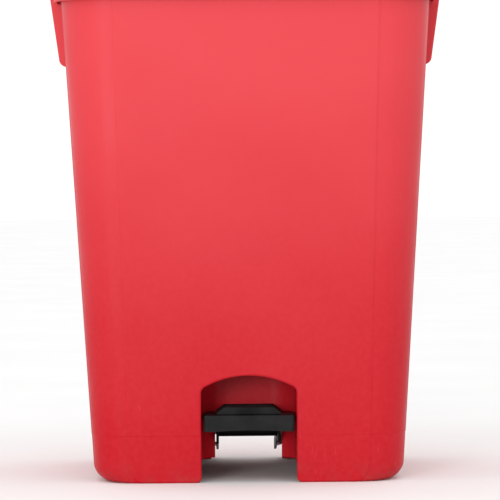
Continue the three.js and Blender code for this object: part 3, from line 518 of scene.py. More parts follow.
def outer_form():
    """The body's outside as one solid, from the floor to the rim."""
    heights = {up for radius in (SIDE_EDGE_R, FRONT_EDGE_R) for _, up in quarter_steps(radius)}
    heights |= {BAND_Z - 0.9, BAND_Z - 0.6, BAND_Z - 0.3, BAND_Z}
    heights |= set(levels(SIDE_EDGE_R, BAND_Z - 1.2)) | set(levels(BAND_Z + 1, RIM_Z - 1))
    rings = []
    for z in sorted(heights):
        drawn_in = BAND_STEP * smoothstep((BAND_Z - z) / 0.9)
        rings.append(body_ring(z, -drawn_in, PANEL_STEP))
    return loft(rings)


def rim_band():
    """The collar round the rim: a skin that hangs clear of the wall, closed along its top."""
    edge = quarter_steps(COLLAR_EDGE_R, 4)
    rings = [body_ring(COLLAR_Z + up, COLLAR_OUT - drawn_in) for drawn_in, up in edge]
    rings += [body_ring(z, COLLAR_OUT) for z in levels(COLLAR_Z + 2, RIM_Z - 3, 20)]
    rings += [body_ring(RIM_Z - up, COLLAR_OUT - drawn_in) for drawn_in, up in reversed(edge)]
    hollow = loft([body_ring(z, COLLAR_OUT - COLLAR_T) for z in levels(COLLAR_Z - 2, RIM_Z - COLLAR_T)])
    core = loft([body_ring(z, -0.5) for z in levels(COLLAR_Z - 4, RIM_Z - 1)])
    gap_half = CHANNEL_HALF_X + 1
    gap = block(-gap_half, gap_half, half_y_at(RIM_Z) - 8, 240, COLLAR_GAP_Z, RIM_Z + 5)
    return cut(loft(rings), cut(hollow, core), rounded(gap, 1.5))


# ---- The foot opening ----
def arch_outline(offset, low):
    """The opening in the front wall, in (x, z), grown by an offset and open below a height."""
    centre_z = NICHE_APEX_Z - NICHE_ARCH_R
    shoulder_x = NICHE_HALF_X - NICHE_SHOULDER_R
    rise = math.sqrt((NICHE_ARCH_R - NICHE_SHOULDER_R) ** 2 - shoulder_x**2)
    turn = math.degrees(math.atan2(rise, shoulder_x))
    shoulder_z = centre_z + rise
    foot_x = NICHE_HALF_X + NICHE_FOOT_R
    right = [(foot_x, low)] + arc((foot_x, NICHE_FOOT_R), NICHE_FOOT_R - offset, 270, 180, 8)
    right += arc((shoulder_x, shoulder_z), NICHE_SHOULDER_R + offset, 0, turn, 8)
    top = arc((0, centre_z), NICHE_ARCH_R + offset, turn, 180 - turn, 40)
    left = [(-x, z) for x, z in reversed(right)]
    return right + top[1:-1] + left


def arch_block(offset, low, flare=0.0):
    """The opening's outline drawn back from the leaning front face, with a rounded mouth."""
    layers = [(NICHE_CUT_START, flare)]
    if flare:
        layers += [(up, drawn_in) for drawn_in, up in quarter_steps(flare)]
    layers.append((NICHE_CUT_END, 0))
    rings = []
    for depth, grown in layers:
        rings.append([(x, depth - half_y_at(z), z) for x, z in arch_outline(offset + grown, low)])
    return loft(rings)


def niche_plan(offset, wide=0):
    """The niche's outline from above, which ends in two round corners."""
    half = NICHE_HALF_X + offset
    radius = NICHE_PLAN_R + offset
    turn_x = NICHE_HALF_X - NICHE_PLAN_R
    turn_y = NICHE_BACK_Y - NICHE_PLAN_R
    front = -BASE_HALF_Y * 2
    mouth = -BASE_HALF_Y + 12
    right = [(half + wide, front), (half + wide, mouth), (half, mouth + 1)]
    right += arc((turn_x, turn_y), radius, 0, 90, 16)
    return right + [(-x, y) for x, y in reversed(right)]


# ---- The body ----
def sheared(outline, z0, z1):
    """An outline in (x, distance out of the back face), drawn up along the leaning back."""
    return loft([[(x, half_y_at(z) + out, z) for x, out in outline] for z in (z0, z1)])


def channel_block(half, depth, out, z0, z1):
    """A straight-sided solid from the rod channel's back wall to some way out of the back face."""
    return sheared([(half, out), (half, -depth), (-half, -depth), (-half, out)], z0, z1)


def channel_rib(top):
    """The wall round the rod channel, which the container and the hollow base leave standing."""
    return channel_block(CHANNEL_HALF_X + WALL, CHANNEL_DEPTH + WALL, CHANNEL_PAST, -20, top)


def channel_outline():
    """The rod channel with rounded edges and round corners at its back wall."""
    half, depth, edge, root = CHANNEL_HALF_X, CHANNEL_DEPTH, CHANNEL_EDGE_R, CHANNEL_ROOT_R
    right = [(half + edge, CHANNEL_PAST), (half + edge, 0)]
    right += arc((half + edge, -edge), edge, 90, 180, 6)
    right += arc((half - root, -depth + root), root, 0, -90, 6)
    return right + [(-x, out) for x, out in reversed(right)]


def scoop_block(grown):
    """The hollow for the fingers behind the +X handle. Its mouth is past the wall, so no face stays there."""
    low = SCOOP_LOW_Z - SCOOP_SPREAD * grown
    high = SCOOP_HIGH_Z + SCOOP_SPREAD * grown
    depth = SCOOP_DEPTH + grown
    outline = [
        (half_x_at(low) + SCOOP_MOUTH, low),
        (half_x_at(high) + SCOOP_MOUTH, high),
        (half_x_at(high - SCOOP_SLOPE) - depth, high - SCOOP_SLOPE),
        (half_x_at(low + SCOOP_SLOPE) - depth, low + SCOOP_SLOPE),
    ]
    return rounded(prism(outline, "Y", -SCOOP_HALF_Y - grown, SCOOP_HALF_Y + grown), 2.5)


def wing_x(z):
    """How far out a handle's outer face is at height z."""
    return WING_FOOT_X + WING_SLOPE * (z - WING_FOOT_Z)


def side_handle():
    """The hollow handle on the +X side, open below, with a raised middle for the fingers."""
    top = WING_TOP_Z + 6
    below = WING_FOOT_Z - 10
    roof = WING_TOP_Z - 6
    outline = [(half_x_at(WING_FOOT_Z) - 2, WING_FOOT_Z)]
    outline += arc((WING_FOOT_X - WING_FOOT_R, WING_FOOT_Z + WING_FOOT_R), WING_FOOT_R, -90, 0, 10)
    outline += [(wing_x(WING_TOP_Z), WING_TOP_Z), (half_x_at(top) + COLLAR_OUT - 1, top)]
    outline.append((half_x_at(top) - 2, top))
    gap = [
        (half_x_at(below) - 1, below),
        (wing_x(below) - WING_T, below),
        (wing_x(roof) - WING_T, roof),
        (half_x_at(roof) - 1, roof),
    ]
    turn_y, turn_z = GRIP_HALF_Y - GRIP_R, GRIP_TOP_Z - GRIP_R
    grip = [(-GRIP_HALF_Y, below), (GRIP_HALF_Y, below)]
    grip += arc((turn_y, turn_z), GRIP_R, 0, 90, 8) + arc((-turn_y, turn_z), GRIP_R, 90, 180, 8)
    solid = prism(outline, "Y", -WING_HALF_Y, WING_HALF_Y)
    room = prism(gap, "Y", -WING_HALF_Y + WING_T, WING_HALF_Y - WING_T)
    window = prism(grip, "X", half_x_at(GRIP_TOP_Z) + 0.5, WING_FOOT_X + 30)
    return rounded(cut(rounded(solid, 2, 4), rounded(room, 1.5), window), 0.7, 2, 50)


def hinge_ear(middle):
    """One of the lugs at the back of the rim that the hinge pins go through."""
    front_turn = math.degrees(math.acos((EAR_FRONT_Y - HINGE_Y) / LUG_R))
    outline = [(EAR_ROOT_Y, EAR_ROOT_Z), (EAR_ROOT_Y + 3.5, EAR_ROOT_Z + 4)]
    outline += arc(HINGE, LUG_R, -20, front_turn, 16)
    outline += [(EAR_FRONT_Y, RIM_Z - 0.5), (EAR_ROOT_Y + 1.3, RIM_Z - 0.5)]
    return rounded(prism(outline, "X", middle - LUG_T / 2, middle + LUG_T / 2), 0.8, 3, 50)


def ear_middles():
    """Where the four lugs are along X: one on each side of each knuckle."""
    step = KNUCKLE_HALF + GAP + LUG_T / 2
    return [side * KNUCKLE_X + end * step for side in (-1, 1) for end in (-1, 1)]


def bracket_screw_places():
    """The (x, y) of the four screws that hold the pivot brackets under the floor."""
    ends = (PIVOT_Y - BRACKET_SCREW_STEP, PIVOT_Y + BRACKET_SCREW_STEP)
    return [(side * BRACKET_SCREW_X, y) for side in (-1, 1) for y in ends]


def guide_screw_places():
    """The (x, height along the back) of the four screws that hold the rod guides."""
    return [(side * GUIDE_SCREW_X, z) for z in GUIDE_HEIGHTS for side in (-1, 1)]


def at_body_screws(radius, low, high, inner, outer):
    """A round bar at each screw of the body: upright under the floor, and level through the back wall."""
    upright = [rod(radius, "Z", low, high, place) for place in bracket_screw_places()]
    return upright + [tilted(rod(radius, "Y", inner, outer, place)) for place in guide_screw_places()]


def body_cavity():
    """The container's inside, as the solid that is cut out of the body."""
    foot, lip = quarter_steps(INNER_FOOT_R, 6), quarter_steps(INNER_LIP_R, 4)
    rings = [body_ring(FLOOR_TOP + up, -WALL - drawn_in) for drawn_in, up in foot]
    rings += [body_ring(z, -WALL) for z in levels(FLOOR_TOP + INNER_FOOT_R + 2, RIM_Z - INNER_LIP_R - 1)]
    rings += [body_ring(RIM_Z - up, -WALL + drawn_in) for drawn_in, up in reversed(lip)]
    rings += [body_ring(RIM_Z + 5, -WALL + INNER_LIP_R)]
    niche = common(arch_block(WALL, -2), prism(niche_plan(WALL, 5), "Z", 0, NICHE_APEX_Z * 2))
    bosses = at_body_screws(BOSS_R, 40, FLOOR_BOSS_Z, -GUIDE_BOSS_DEPTH, -CHANNEL_DEPTH)
    rib = channel_rib(RIM_Z + 20)
    return cut(loft(rings), rounded(niche, 2), rounded(rib, 2.5), *both(scoop_block(WALL)), *bosses)


def body_plinth():
    """The hollow base, open to the floor, with a skirt behind the niche."""
    lip = -WALL + 1
    mouth = [(x, y, -2) for x, y, _ in body_ring(0, lip)]
    heights = sorted({up for _, up in quarter_steps(SIDE_EDGE_R)} | {BAND_Z - 4, BAND_Z - 1.5, BAND_Z})
    rings = [mouth, body_ring(0.01, lip)]
    rings += [body_ring(z, -WALL - (1 if z > BAND_Z - 1 else 0)) for z in heights if z > 0.5]
    gap = block(-SKIRT_GAP_X, SKIRT_GAP_X, -BASE_HALF_Y * 3, 0, 0, BAND_Z + 20)
    skirt = rounded(cut(prism(niche_plan(WALL), "Z", SKIRT_Z, BAND_Z + 5), gap), 1)
    return cut(loft(rings), channel_rib(BAND_Z + 20), skirt)


def body_shell():
    """The body in one moulding: container, hollow base, collar, handles and hinge lugs."""
    ears = [hinge_ear(middle) for middle in ear_middles()]
    whole = join(outer_form(), rim_band(), *both(side_handle()), *ears)
    niche = common(arch_block(0, -5, NICHE_EDGE_R), prism(niche_plan(0.02, 6), "Z", -20, NICHE_APEX_Z * 2))
    channel = sheared(channel_outline(), -5, COLLAR_Z + 5)
    # A hair less deep than the channel, because two cuts in one plane leave stray faces.
    under = channel_block(CHANNEL_HALF_X, CHANNEL_DEPTH - 0.02, COLLAR_OUT - COLLAR_T, COLLAR_Z, RIM_Z + 8)
    back_opening = block(-BACK_OPENING_HALF_X, BACK_OPENING_HALF_X, 120, 210, -5, BAND_Z - 1)
    half = KNUCKLE_HALF + GAP
    rooms = [on_hinge(KNUCKLE_R + 1, middle - half, middle + half) for middle in (-KNUCKLE_X, KNUCKLE_X)]
    bore = on_hinge(HINGE_PIN_R + GAP, -BASE_HALF_X, BASE_HALF_X)
    hole_top, hole_end = FLOOR_BOSS_Z - HOLE_END_WALL, -GUIDE_BOSS_DEPTH + HOLE_END_WALL
    holes = at_body_screws(HOLE_R, BAND_Z - 5, hole_top, hole_end, 5)
    cutters = [body_cavity(), body_plinth(), channel, under, niche, rounded(back_opening, 5)]
    cutters += [*both(scoop_block(0)), *rooms, bore, *holes]
    return cut(whole, *cutters)


# ---- Lid ----
def lid_profile():
    """How far in and how high the lid's outer surface is, from its lower edge to its crown."""
    points = [(inset, LID_FOOT_Z + up) for inset, up in LID_EDGE]
    pulls = [SHOULDER_FOOT, SHOULDER_FOOT + Vector((0.4, 9)), SHOULDER_TOP - Vector((7.5, 2.2)), SHOULDER_TOP]
    for i in range(13):
        t = i / 12
        shares = ((1 - t) ** 3, 3 * t * (1 - t) ** 2, 3 * t * t * (1 - t), t**3)
        points.append(tuple(sum((pull * share for pull, share in zip(pulls, shares)), Vector((0, 0)))))
    rise = LID_TOP_Z - SHOULDER_TOP.y
    for i in range(1, 23):
        share = (i / 22) ** 1.5
        inset = SHOULDER_TOP.x + (CROWN_INSET - SHOULDER_TOP.x) * share
        points.append((inset, LID_TOP_Z - rise * (1 - share) ** 2.6 - lid_groove(inset)))
    return points


def lid_groove(inset):
    """A shallow step round the top sets its middle panel off from the shoulder."""
    return 0.9 * smoothstep((inset - PANEL_INSET) / 4)


def lid_ring(z, inset, offset=0):
    """The lid's outline, drawn in by an inset and moved out by an offset."""
    return ring(
        z,
        LID_HALF_X - inset + offset,
        LID_HALF_Y - inset + offset,
        max(LID_CORNER_R - inset * 0.3, 20) + offset,
        centre_y=LID_MIDDLE_Y,
    )


def lid_inner_form(offset, low):
    """The lid's outer form made larger or smaller by an offset, and carried down to a height."""
    rings = [lid_ring(low, 0, offset)]
    for inset, z in lid_profile():
        if z > LID_FOOT_Z + 8:
            rings.append(lid_ring(z + offset, inset, offset))
    return loft(rings)


def lid_ribs():
    """Thin ribs that stiffen the lid from below, along and across."""
    low, half, end_x = LID_TOP_Z - LID_RIB_DEPTH, LID_RIB_T / 2, LID_HALF_X - 20
    along = [block(x - half, x + half, LID_FRONT_Y + 20, 150, low, LID_TOP_Z) for x in LID_RIB_PLACES]
    across = [block(-end_x, end_x, y - half, y + half, low, LID_TOP_Z) for y in LID_RIB_PLACES]
    return along + across


def lid_lip():
    """The pull in the middle of the lid's front edge."""
    right = [(52, LID_LIP_Y), (58, LID_LIP_Y + 0.5), (70, LID_FRONT_Y + 2)]
    front = [(-x, y) for x, y in reversed(right)] + right
    return rounded(prism(front, "Z", LID_FOOT_Z + 2, LID_FOOT_Z + 8), 1.2)


def lid_seal():
    """The rib under the lid that closes the container off from the rod channel."""
    front = half_y_at(RIM_Z) - CHANNEL_DEPTH - WALL + GAP
    side = CHANNEL_HALF_X + WALL - GAP
    inside = side - SEAL_T
    outer = block(-side, side, front, LID_BACK_Y - 1, SEAL_Z, LID_TOP_Z)
    inner = block(-inside, inside, front + SEAL_T, LID_BACK_Y + 5, SEAL_Z - 5, LID_TOP_Z + 5)
    return rounded(cut(outer, inner), 0.6, 2)


def lid_knuckle(middle):
    """A round foot behind the lid that turns on a hinge pin."""
    back_y = LID_BACK_Y - 2.5
    outline = arc(HINGE, KNUCKLE_R, 180, 432, 32)
    outline += [(back_y + 1, KNUCKLE_TOP_Z), (back_y, KNUCKLE_TOP_Z - 2), (back_y, HINGE_Z)]
    return rounded(prism(outline, "X", middle - KNUCKLE_HALF, middle + KNUCKLE_HALF), 0.6, 2, 50)


def at_lid_screws(radius, low, high):
    """A round bar at each of the rod catch's two screws."""
    return [rod(radius, "Z", low, high, (side * CATCH_SCREW_X, CATCH_SCREW_Y)) for side in (-1, 1)]


def lid_shell():
    """The lid in one moulding, with its lip, seal, ribs, bosses and hinge knuckles."""
    outer = loft([lid_ring(z, inset) for inset, z in lid_profile()])
    skin = cut(outer, lid_inner_form(-LID_T, LID_FOOT_Z - 5))
    lip = lid_lip()
    bumper_places = [middle_of(f"lid_bumper_{place}") for place in BUMPERS]
    inner_parts = [rod(BUMPER_R + 1, "Z", BUMPER_TOP_Z, LID_TOP_Z, place) for place in bumper_places]
    inner_parts += [*at_lid_screws(BOSS_R, CATCH_TOP_Z, LID_TOP_Z), lid_seal(), *lid_ribs()]
    inside = [common(part, lid_inner_form(-1, LID_FOOT_Z)) for part in inner_parts]
    # The lid's skirt ends higher at the back, so that it clears the rim as it swings.
    back_outline = [(128, 560), (260, 560), (260, LID_BACK_EDGE_Z), (146, LID_BACK_EDGE_Z)]
    back_cut = prism(back_outline, "X", -300, 300)
    half = LUG_T / 2 + GAP * 2
    ear_rooms = [on_hinge(LUG_R + 0.8, middle - half, middle + half) for middle in ear_middles()]
    trimmed = cut(join(skin, lip, *inside), back_cut, *ear_rooms)
    knuckles = [lid_knuckle(middle) for middle in (-KNUCKLE_X, KNUCKLE_X)]
    holes = [rod(HOLE_R, "Z", BUMPER_TOP_Z - 1, BUMPER_TOP_Z + 7, place) for place in bumper_places]
    holes += at_lid_screws(HOLE_R, CATCH_TOP_Z - 1, CATCH_TOP_Z + CATCH_HOLE_DEPTH)
    holes.append(on_hinge(HINGE_PIN_R + GAP, -BASE_HALF_X, BASE_HALF_X))
    return cut(join(trimmed, *knuckles), *holes)


# ---- Lever and tread ----
def lever_arm():
    """One arm in (y, z): under the tread, back past the axle, and down to the eye for the rod's foot."""
    outline = [(TREAD_FRONT_Y + 3, TREAD_Z - 2), (TREAD_FRONT_Y + 3, TREAD_FOOT_Z + 3), (-112, 53)]
    outline += [(-102, 44), (-97, 39), (PIVOT_Y - 12, 37.5)]
    outline += arc(PIVOT, 8, -112, -72, 8)
    outline += arc((EYE_Y, EYE_Z), EYE_R, -101, 79, 20)
    outline += [(PIVOT_Y + 12, 51.5), (PIVOT_Y, 52.8), (-84, 51), (-97, 54), (TREAD_BACK_Y, TREAD_Z - 2)]
    slot_r = ROD_R + RUNNING
    slot = arc((EYE_Y, EYE_Z), slot_r, -90, 90, 16) + arc((EYE_Y - EYE_SLIP, EYE_Z), slot_r, 90, 270, 16)
    arm = rounded(prism(outline, "X", ARM_X - ARM_T / 2, ARM_X + ARM_T / 2), 0.6, 2, 50)
    return cut(arm, prism(slot, "X", ARM_X - ARM_T, ARM_X + ARM_T))


def tread_ring(z, inset):
    """The tread's outline: small corners in front, and the niche's round corners behind."""
    front_turn = (TREAD_HALF_X - TREAD_CORNER_R, TREAD_FRONT_Y + TREAD_CORNER_R)
    back_r = NICHE_PLAN_R - TREAD_CLEARANCE - inset
    turn_x, turn_y = NICHE_HALF_X - NICHE_PLAN_R, NICHE_BACK_Y - NICHE_PLAN_R
    back_turn = math.degrees(math.asin((TREAD_BACK_Y - inset - turn_y) / back_r))
    right = arc(front_turn, TREAD_CORNER_R - inset, -90, 0, 8)
    right += arc((turn_x, turn_y), back_r, 0, back_turn, 14)
    outline = right + [(-x, y) for x, y in reversed(right)]
    return [(x, y, z) for x, y in outline]


def tread_shell():
    """The tread: a deck with an apron in front, bowed up a little, and a flange down each side."""
    edge = quarter_steps(TREAD_EDGE_R, 5)
    rings = [tread_ring(TREAD_FOOT_Z - 6, 0), tread_ring(TREAD_Z - 1.5, 0)]
    rings += [tread_ring(TREAD_Z - up, drawn_in) for drawn_in, up in reversed(edge)]
    hollow = loft([tread_ring(z, TREAD_SIDE_T) for z in (TREAD_FOOT_Z - 8, TREAD_Z - TREAD_T)])
    past, bow_half, below = TREAD_HALF_X + 9, TREAD_HALF_X - 12, TREAD_FOOT_Z - 20
    bow = [(x, TREAD_FOOT_Z + TREAD_BOW * (1 - (x / bow_half) ** 2)) for x in range(32, -33, -4)]
    foot = [(past, TREAD_FOOT_Z), (bow_half, TREAD_FOOT_Z), *bow]
    foot += [(-bow_half, TREAD_FOOT_Z), (-past, TREAD_FOOT_Z)]
    apron_cut = prism([(past, below), *foot, (-past, below)], "Y", -300, 0)
    front_y, back_y = TREAD_FRONT_Y + 16, TREAD_BACK_Y + 5
    flange_foot = [(front_y, TREAD_FOOT_Z), (front_y + 8, TREAD_FOOT_Z + 3), (back_y, TREAD_Z - 9)]
    flange_cut = prism([*flange_foot, (back_y, below), (front_y, below)], "X", -90, 90)
    return cut(loft(rings), hollow, apron_cut, flange_cut)


def deck_rib(middle):
    """A rib under the tread's deck, from front to back."""
    half = DECK_RIB_T / 2
    return block(middle - half, middle + half, TREAD_FRONT_Y + 2, TREAD_BACK_Y - 2, TREAD_Z - 12, TREAD_Z - 1)


def pedal_lever():
    """The lever in one moulding: tread, two arms and the tube that turns on the axle."""
    ribs = [deck_rib(middle) for middle in DECK_RIB_PLACES]
    tube_half = ARM_X + ARM_T / 2 - 0.2
    tube = turned(soft_ended(AXLE_TUBE_R, -tube_half, tube_half), "X", PIVOT)
    whole = join(tread_shell(), *ribs, tube, *both(lever_arm()))
    bore = rod(AXLE_R + GAP, "X", -ARM_X * 2, ARM_X * 2, PIVOT)
    holes = [rod(STUD_HOLE_R, "Z", TREAD_Z - 20, TREAD_Z + 5, place) for place in STUD_PLACES]
    return cut(whole, bore, *holes)


def pad_groove(start, top):
    """A groove across the pad."""
    return rounded(block(-26, 26, start, start + 3, top - 1.6, top + 3), 0.7, 3)


def tread_pad():
    """The raised rubber pad, ribbed across, held by two studs through the deck."""
    low, high = span("tread_pad")
    base = TREAD_Z + GAP
    outline = [(-PAD_FOOT_X, base), (PAD_FOOT_X, base), (PAD_FOOT_X, base + PAD_EDGE)]
    outline += [(PAD_HEAD_X, high.z), (-PAD_HEAD_X, high.z), (-PAD_FOOT_X, base + PAD_EDGE)]
    body = rounded(prism(outline, "Y", low.y, high.y), 0.7, 4, 20)
    studs = [turned(soft_ended(STUD_R, base + 1, low.z), "Z", place) for place in STUD_PLACES]
    return cut(join(body, *studs), *[pad_groove(low.y + y, high.z) for y in range(7, 53, 9)])


# ---- Push rod ----
def up_the_back(z):
    """The height along the leaning back face of a point on the rod's line."""
    return (z - ROD_DEPTH * math.sin(LEAN)) / math.cos(LEAN)


def bar_height():
    """The cross bar is as far below the hinge at rest as it is above it with the lid open."""
    behind = HINGE_Y - half_y_at(HINGE_Z) + ROD_DEPTH / math.cos(LEAN)
    reach = behind / (math.cos(LID_SWING / 2) - TAPER * math.sin(LID_SWING / 2))
    return up_the_back(HINGE_Z - reach * math.sin(LID_SWING / 2))


def rod_route():
    """The wire's centre line in (x, height along the back), from one hooked foot to the other."""
    hook, bar = up_the_back(EYE_Z), bar_height()
    foot = ARM_X - ARM_T / 2 + GAP
    half = [(foot, hook)] + arc((ROD_X - HOOK_R, hook + HOOK_R), HOOK_R, -90, 0, 10)
    half += arc((ROD_X - BEND_R, bar - BEND_R), BEND_R, 0, 90, 14)
    return half + [(-x, z) for x, z in reversed(half)]


def wire_ring(point, along, radius):
    """A ring of points round the wire, square to the way it runs."""
    across = Vector((-along.y, along.x))
    made = []
    for t in (2 * math.pi * k / WIRE_SIDES for k in range(WIRE_SIDES)):
        out = radius * math.cos(t)
        made.append((point.x + across.x * out, -ROD_DEPTH + radius * math.sin(t), point.y + across.y * out))
    return made


def push_rod():
    """The bent wire, with a small bevel at the end of each hooked foot."""
    route = [Vector(point) for point in rod_route()]
    neighbours = zip([route[0], *route], [*route[1:], route[-1]])
    ways = [(after - before).normalized() for before, after in neighbours]
    edge = 0.7
    first, last = [wire_ring(route[i], ways[i], ROD_R - edge) for i in (0, -1)]
    route[0] = route[0] + Vector((edge, 0))
    route[-1] = route[-1] - Vector((edge, 0))
    return tilted(loft([first, *[wire_ring(point, way, ROD_R) for point, way in zip(route, ways)], last]))


def bar_sleeve():
    """The roller on the cross bar, which sits in the lid's fork."""
    centre = (-ROD_DEPTH, bar_height())
    tube = turned(soft_ended(SLEEVE_R, -SLEEVE_HALF_X, SLEEVE_HALF_X), "X", centre)
    return tilted(cut(tube, rod(ROD_R + GAP, "X", -SLEEVE_HALF_X - 5, SLEEVE_HALF_X + 5, centre)))


# ---- Small round parts ----
def screw(length):
    """A pan-head screw with a cross recess. Its head's underside is at the origin, its shank along +Z."""
    profile = [(0.4, -2.4), (1.4, -2.36), (2.4, -2.15), (3.2, -1.7), (3.7, -1), (3.8, -0.4)]
    profile += [(3.7, 0), (2.1, 0)]
    thread_r, pitch = 2.0, 1.0
    core_r = thread_r - 0.3
    for i in range(int((length - 2.5) / pitch)):
        turn = 1 + i * pitch
        profile += [(core_r, turn), (thread_r, turn + 0.35), (thread_r, turn + 0.5), (core_r, turn + 0.85)]
    profile += [(core_r, length - 1.5), (0.6, length)]
    head = turned(profile, "Z", (0, 0), 32)
    long, wide, deep = 1.9, 0.5, -1.2
    recess = [
        rounded(block(-long, long, -wide, wide, -3, deep), 0.15, 2),
        rounded(block(-wide, wide, -long, long, -3, deep - 0.01), 0.15, 2),
    ]
    return cut(head, *recess)


def hinge_pin(side):
    """A pin with a round head on its outer end."""
    half = KNUCKLE_HALF + GAP + LUG_T
    middle = side * KNUCKLE_X
    head_start = middle + side * (half + GAP)
    shank = soft_ended(HINGE_PIN_R, middle - side * (half + 1.5), middle + side * (half + 1.5), 0.5)
    head = soft_ended(PIN_HEAD_R, head_start, head_start + side * 2.5, 0.8)
    return join(turned(shank, "X", HINGE), turned(head, "X", HINGE))


def pivot_axle():
    low, high = span("pivot_axle")
    return turned(soft_ended(AXLE_R, low.x, high.x), "X", PIVOT)


def axle_cap(side):
    """The cap pushed onto an end of the axle."""
    low, high = span("axle_cap_right")
    cap = turned(soft_ended(AXLE_CAP_R, side * low.x, side * high.x, 1), "X", PIVOT)
    axle_end = span("pivot_axle")[1].x
    return cut(cap, rod(AXLE_R + GAP, "X", side * (low.x - 1), side * (axle_end + GAP), PIVOT))


def lid_bumper(node):
    """A rubber button with a stem that goes into the lid."""
    low, high = span(node)
    place = middle_of(node)
    button = soft_ended(BUMPER_R, low.z, BUMPER_TOP_Z - GAP, 1.2)
    stem = soft_ended(2, low.z + 2, high.z)
    return join(turned(button, "Z", place), turned(stem, "Z", place, 32))


# ---- Materials ----
class Surface:
    """A material in the making: its shader, and the few kinds of node that the materials are built from."""

    def __init__(self, name):
        self.material = bpy.data.materials.new(name)
        self.material.use_nodes = True
        self.nodes = self.material.node_tree.nodes
        self.links = self.material.node_tree.links
        self.shader = self.nodes["Principled BSDF"].inputs
        self.place = self.nodes.new("ShaderNodeTexCoord").outputs["Object"]

    def feed(self, socket, value):
        """Gives a socket a number, a colour of three numbers, or another node's output."""
        if isinstance(value, (int, float)):
            socket.default_value = value
        elif isinstance(value, tuple):
            socket.default_value = (*value, 1)
        else:
            self.links.new(value, socket)

    def noise(self, scale, detail=2.0, place=None):
        made = self.nodes.new("ShaderNodeTexNoise")
        made.inputs["Scale"].default_value = scale
        made.inputs["Detail"].default_value = detail
        self.links.new(self.place if place is None else place, made.inputs["Vector"])
        return made.outputs["Fac"]

    def ramp(self, value, low, high, to_low=0.0, to_high=1.0):
        """A value turned from one range into another, smoothly and without going past the ends."""
        made = self.nodes.new("ShaderNodeMapRange")
        made.interpolation_type = "SMOOTHSTEP"
        numbers = {"From Min": low, "From Max": high, "To Min": to_low, "To Max": to_high}
        for socket, number in numbers.items():
            made.inputs[socket].default_value = number
        self.links.new(value, made.inputs["Value"])
        return made.outputs["Result"]

    def patches(self, scale, detail, low, high, to_low=0.0, to_high=1.0):
        """Noise with its range stretched, so that it makes clouds or spots."""
        return self.ramp(self.noise(scale, detail), low, high, to_low, to_high)

    def maths(self, operation, a, b):
        made = self.nodes.new("ShaderNodeMath")
        made.operation = operation
        self.feed(made.inputs[0], a)
        self.feed(made.inputs[1], b)
        return made.outputs["Value"]

    def plus(self, a, b):
        return self.maths("ADD", a, b)

    def times(self, a, b):
        return self.maths("MULTIPLY", a, b)

    def larger(self, a, b):
        return self.maths("MAXIMUM", a, b)

    def mixed(self, share, a, b):
        """Colour b over colour a."""
        made = self.nodes.new("ShaderNodeMix")
        made.data_type = "RGBA"
        self.feed(made.inputs[0], share)
        self.feed(made.inputs[6], a)
        self.feed(made.inputs[7], b)
        return made.outputs[2]

    def bumped(self, height, strength, distance, below=None):
        """Gives the shader a relief, on top of an earlier one if there is one."""
        made = self.nodes.new("ShaderNodeBump")
        made.inputs["Strength"].default_value = strength
        made.inputs["Distance"].default_value = distance
        self.links.new(height, made.inputs["Height"])
        if below is not None:
            self.links.new(below, made.inputs["Normal"])
        self.links.new(made.outputs["Normal"], self.shader["Normal"])
        return made.outputs["Normal"]

    def stretched(self, scale, turn=(0, 0, 0)):
        made = self.nodes.new("ShaderNodeMapping")
        made.inputs["Scale"].default_value = scale
        made.inputs["Rotation"].default_value = turn
        self.links.new(self.place, made.inputs["Vector"])
        return made.outputs["Vector"]

    def scratches(self, turn, fineness, amount):
        """Fine lines where a long thin noise passes a threshold, broken up by a coarser one."""
        along = self.stretched((fineness, fineness, 9), turn)
        lines = self.ramp(self.noise(1.0, 1.0, along), 0.71, 0.75)
        return self.times(lines, self.patches(14, 2, 0.5, 0.66, 0, amount))


def red_plastic(name):
    """Satin moulded polypropylene: fine grain, soft sink marks and scuffs that gather low on the body. Its
    colour is painted lighter towards the top as painted light, over random tone, and it is darker and duller
    in patches near the floor.
    """
    made = Surface(name)
    height = made.nodes.new("ShaderNodeSeparateXYZ")
    made.links.new(made.place, height.inputs[0])
    z = height.outputs["Z"]
    # Painted light: the base colour runs from a darker red at the floor to a lighter red at the rim, standing
    # in for the soft light from above. Small random tone patches are mixed in.
    painted_light_and_tone = made.plus(made.ramp(z, 0.0, 0.56), made.times(made.patches(7, 3, 0.3, 0.7), 0.1))
    base = made.mixed(painted_light_and_tone, (0.455, 0.004, 0.012), (0.61, 0.047, 0.058))
    flecks = made.patches(160, 2, 0.35, 0.65)
    base = made.mixed(made.times(flecks, 0.08), base, (0.62, 0.051, 0.062))
    marks = made.larger(made.scratches((0.3, 0.9, 0.2), 900, 0.9), made.scratches((1.2, 0.2, 0.7), 700, 0.7))
    low_down = made.ramp(z, 0.0, 0.14, 1, 0)
    worn = made.times(marks, made.plus(low_down, 0.18))
    base = made.mixed(made.times(worn, 0.5), base, (0.7, 0.14, 0.14))
    # Darker, duller patches in the lowest 30 mm, fading out upwards.
    low_darkening = made.times(made.ramp(z, 0.0, 0.03, 0.32, 0), made.patches(60, 4, 0.35, 0.7))
    base = made.mixed(low_darkening, base, (0.3, 0.05, 0.045))
    made.feed(made.shader["Base Color"], base)
    gloss = made.plus(made.patches(11, 3, 0.3, 0.7, 0.4, 0.5), made.times(worn, 0.2))
    made.feed(made.shader["Roughness"], made.plus(gloss, made.times(low_darkening, 0.5)))
    made.feed(made.shader["Specular IOR Level"], 0.14)
    waves = made.bumped(made.noise(16), 0.35, 0.0012)
    grain = made.plus(made.noise(1400), made.times(worn, -0.8))
    made.bumped(grain, 0.12, 0.0001, waves)
    return made.material


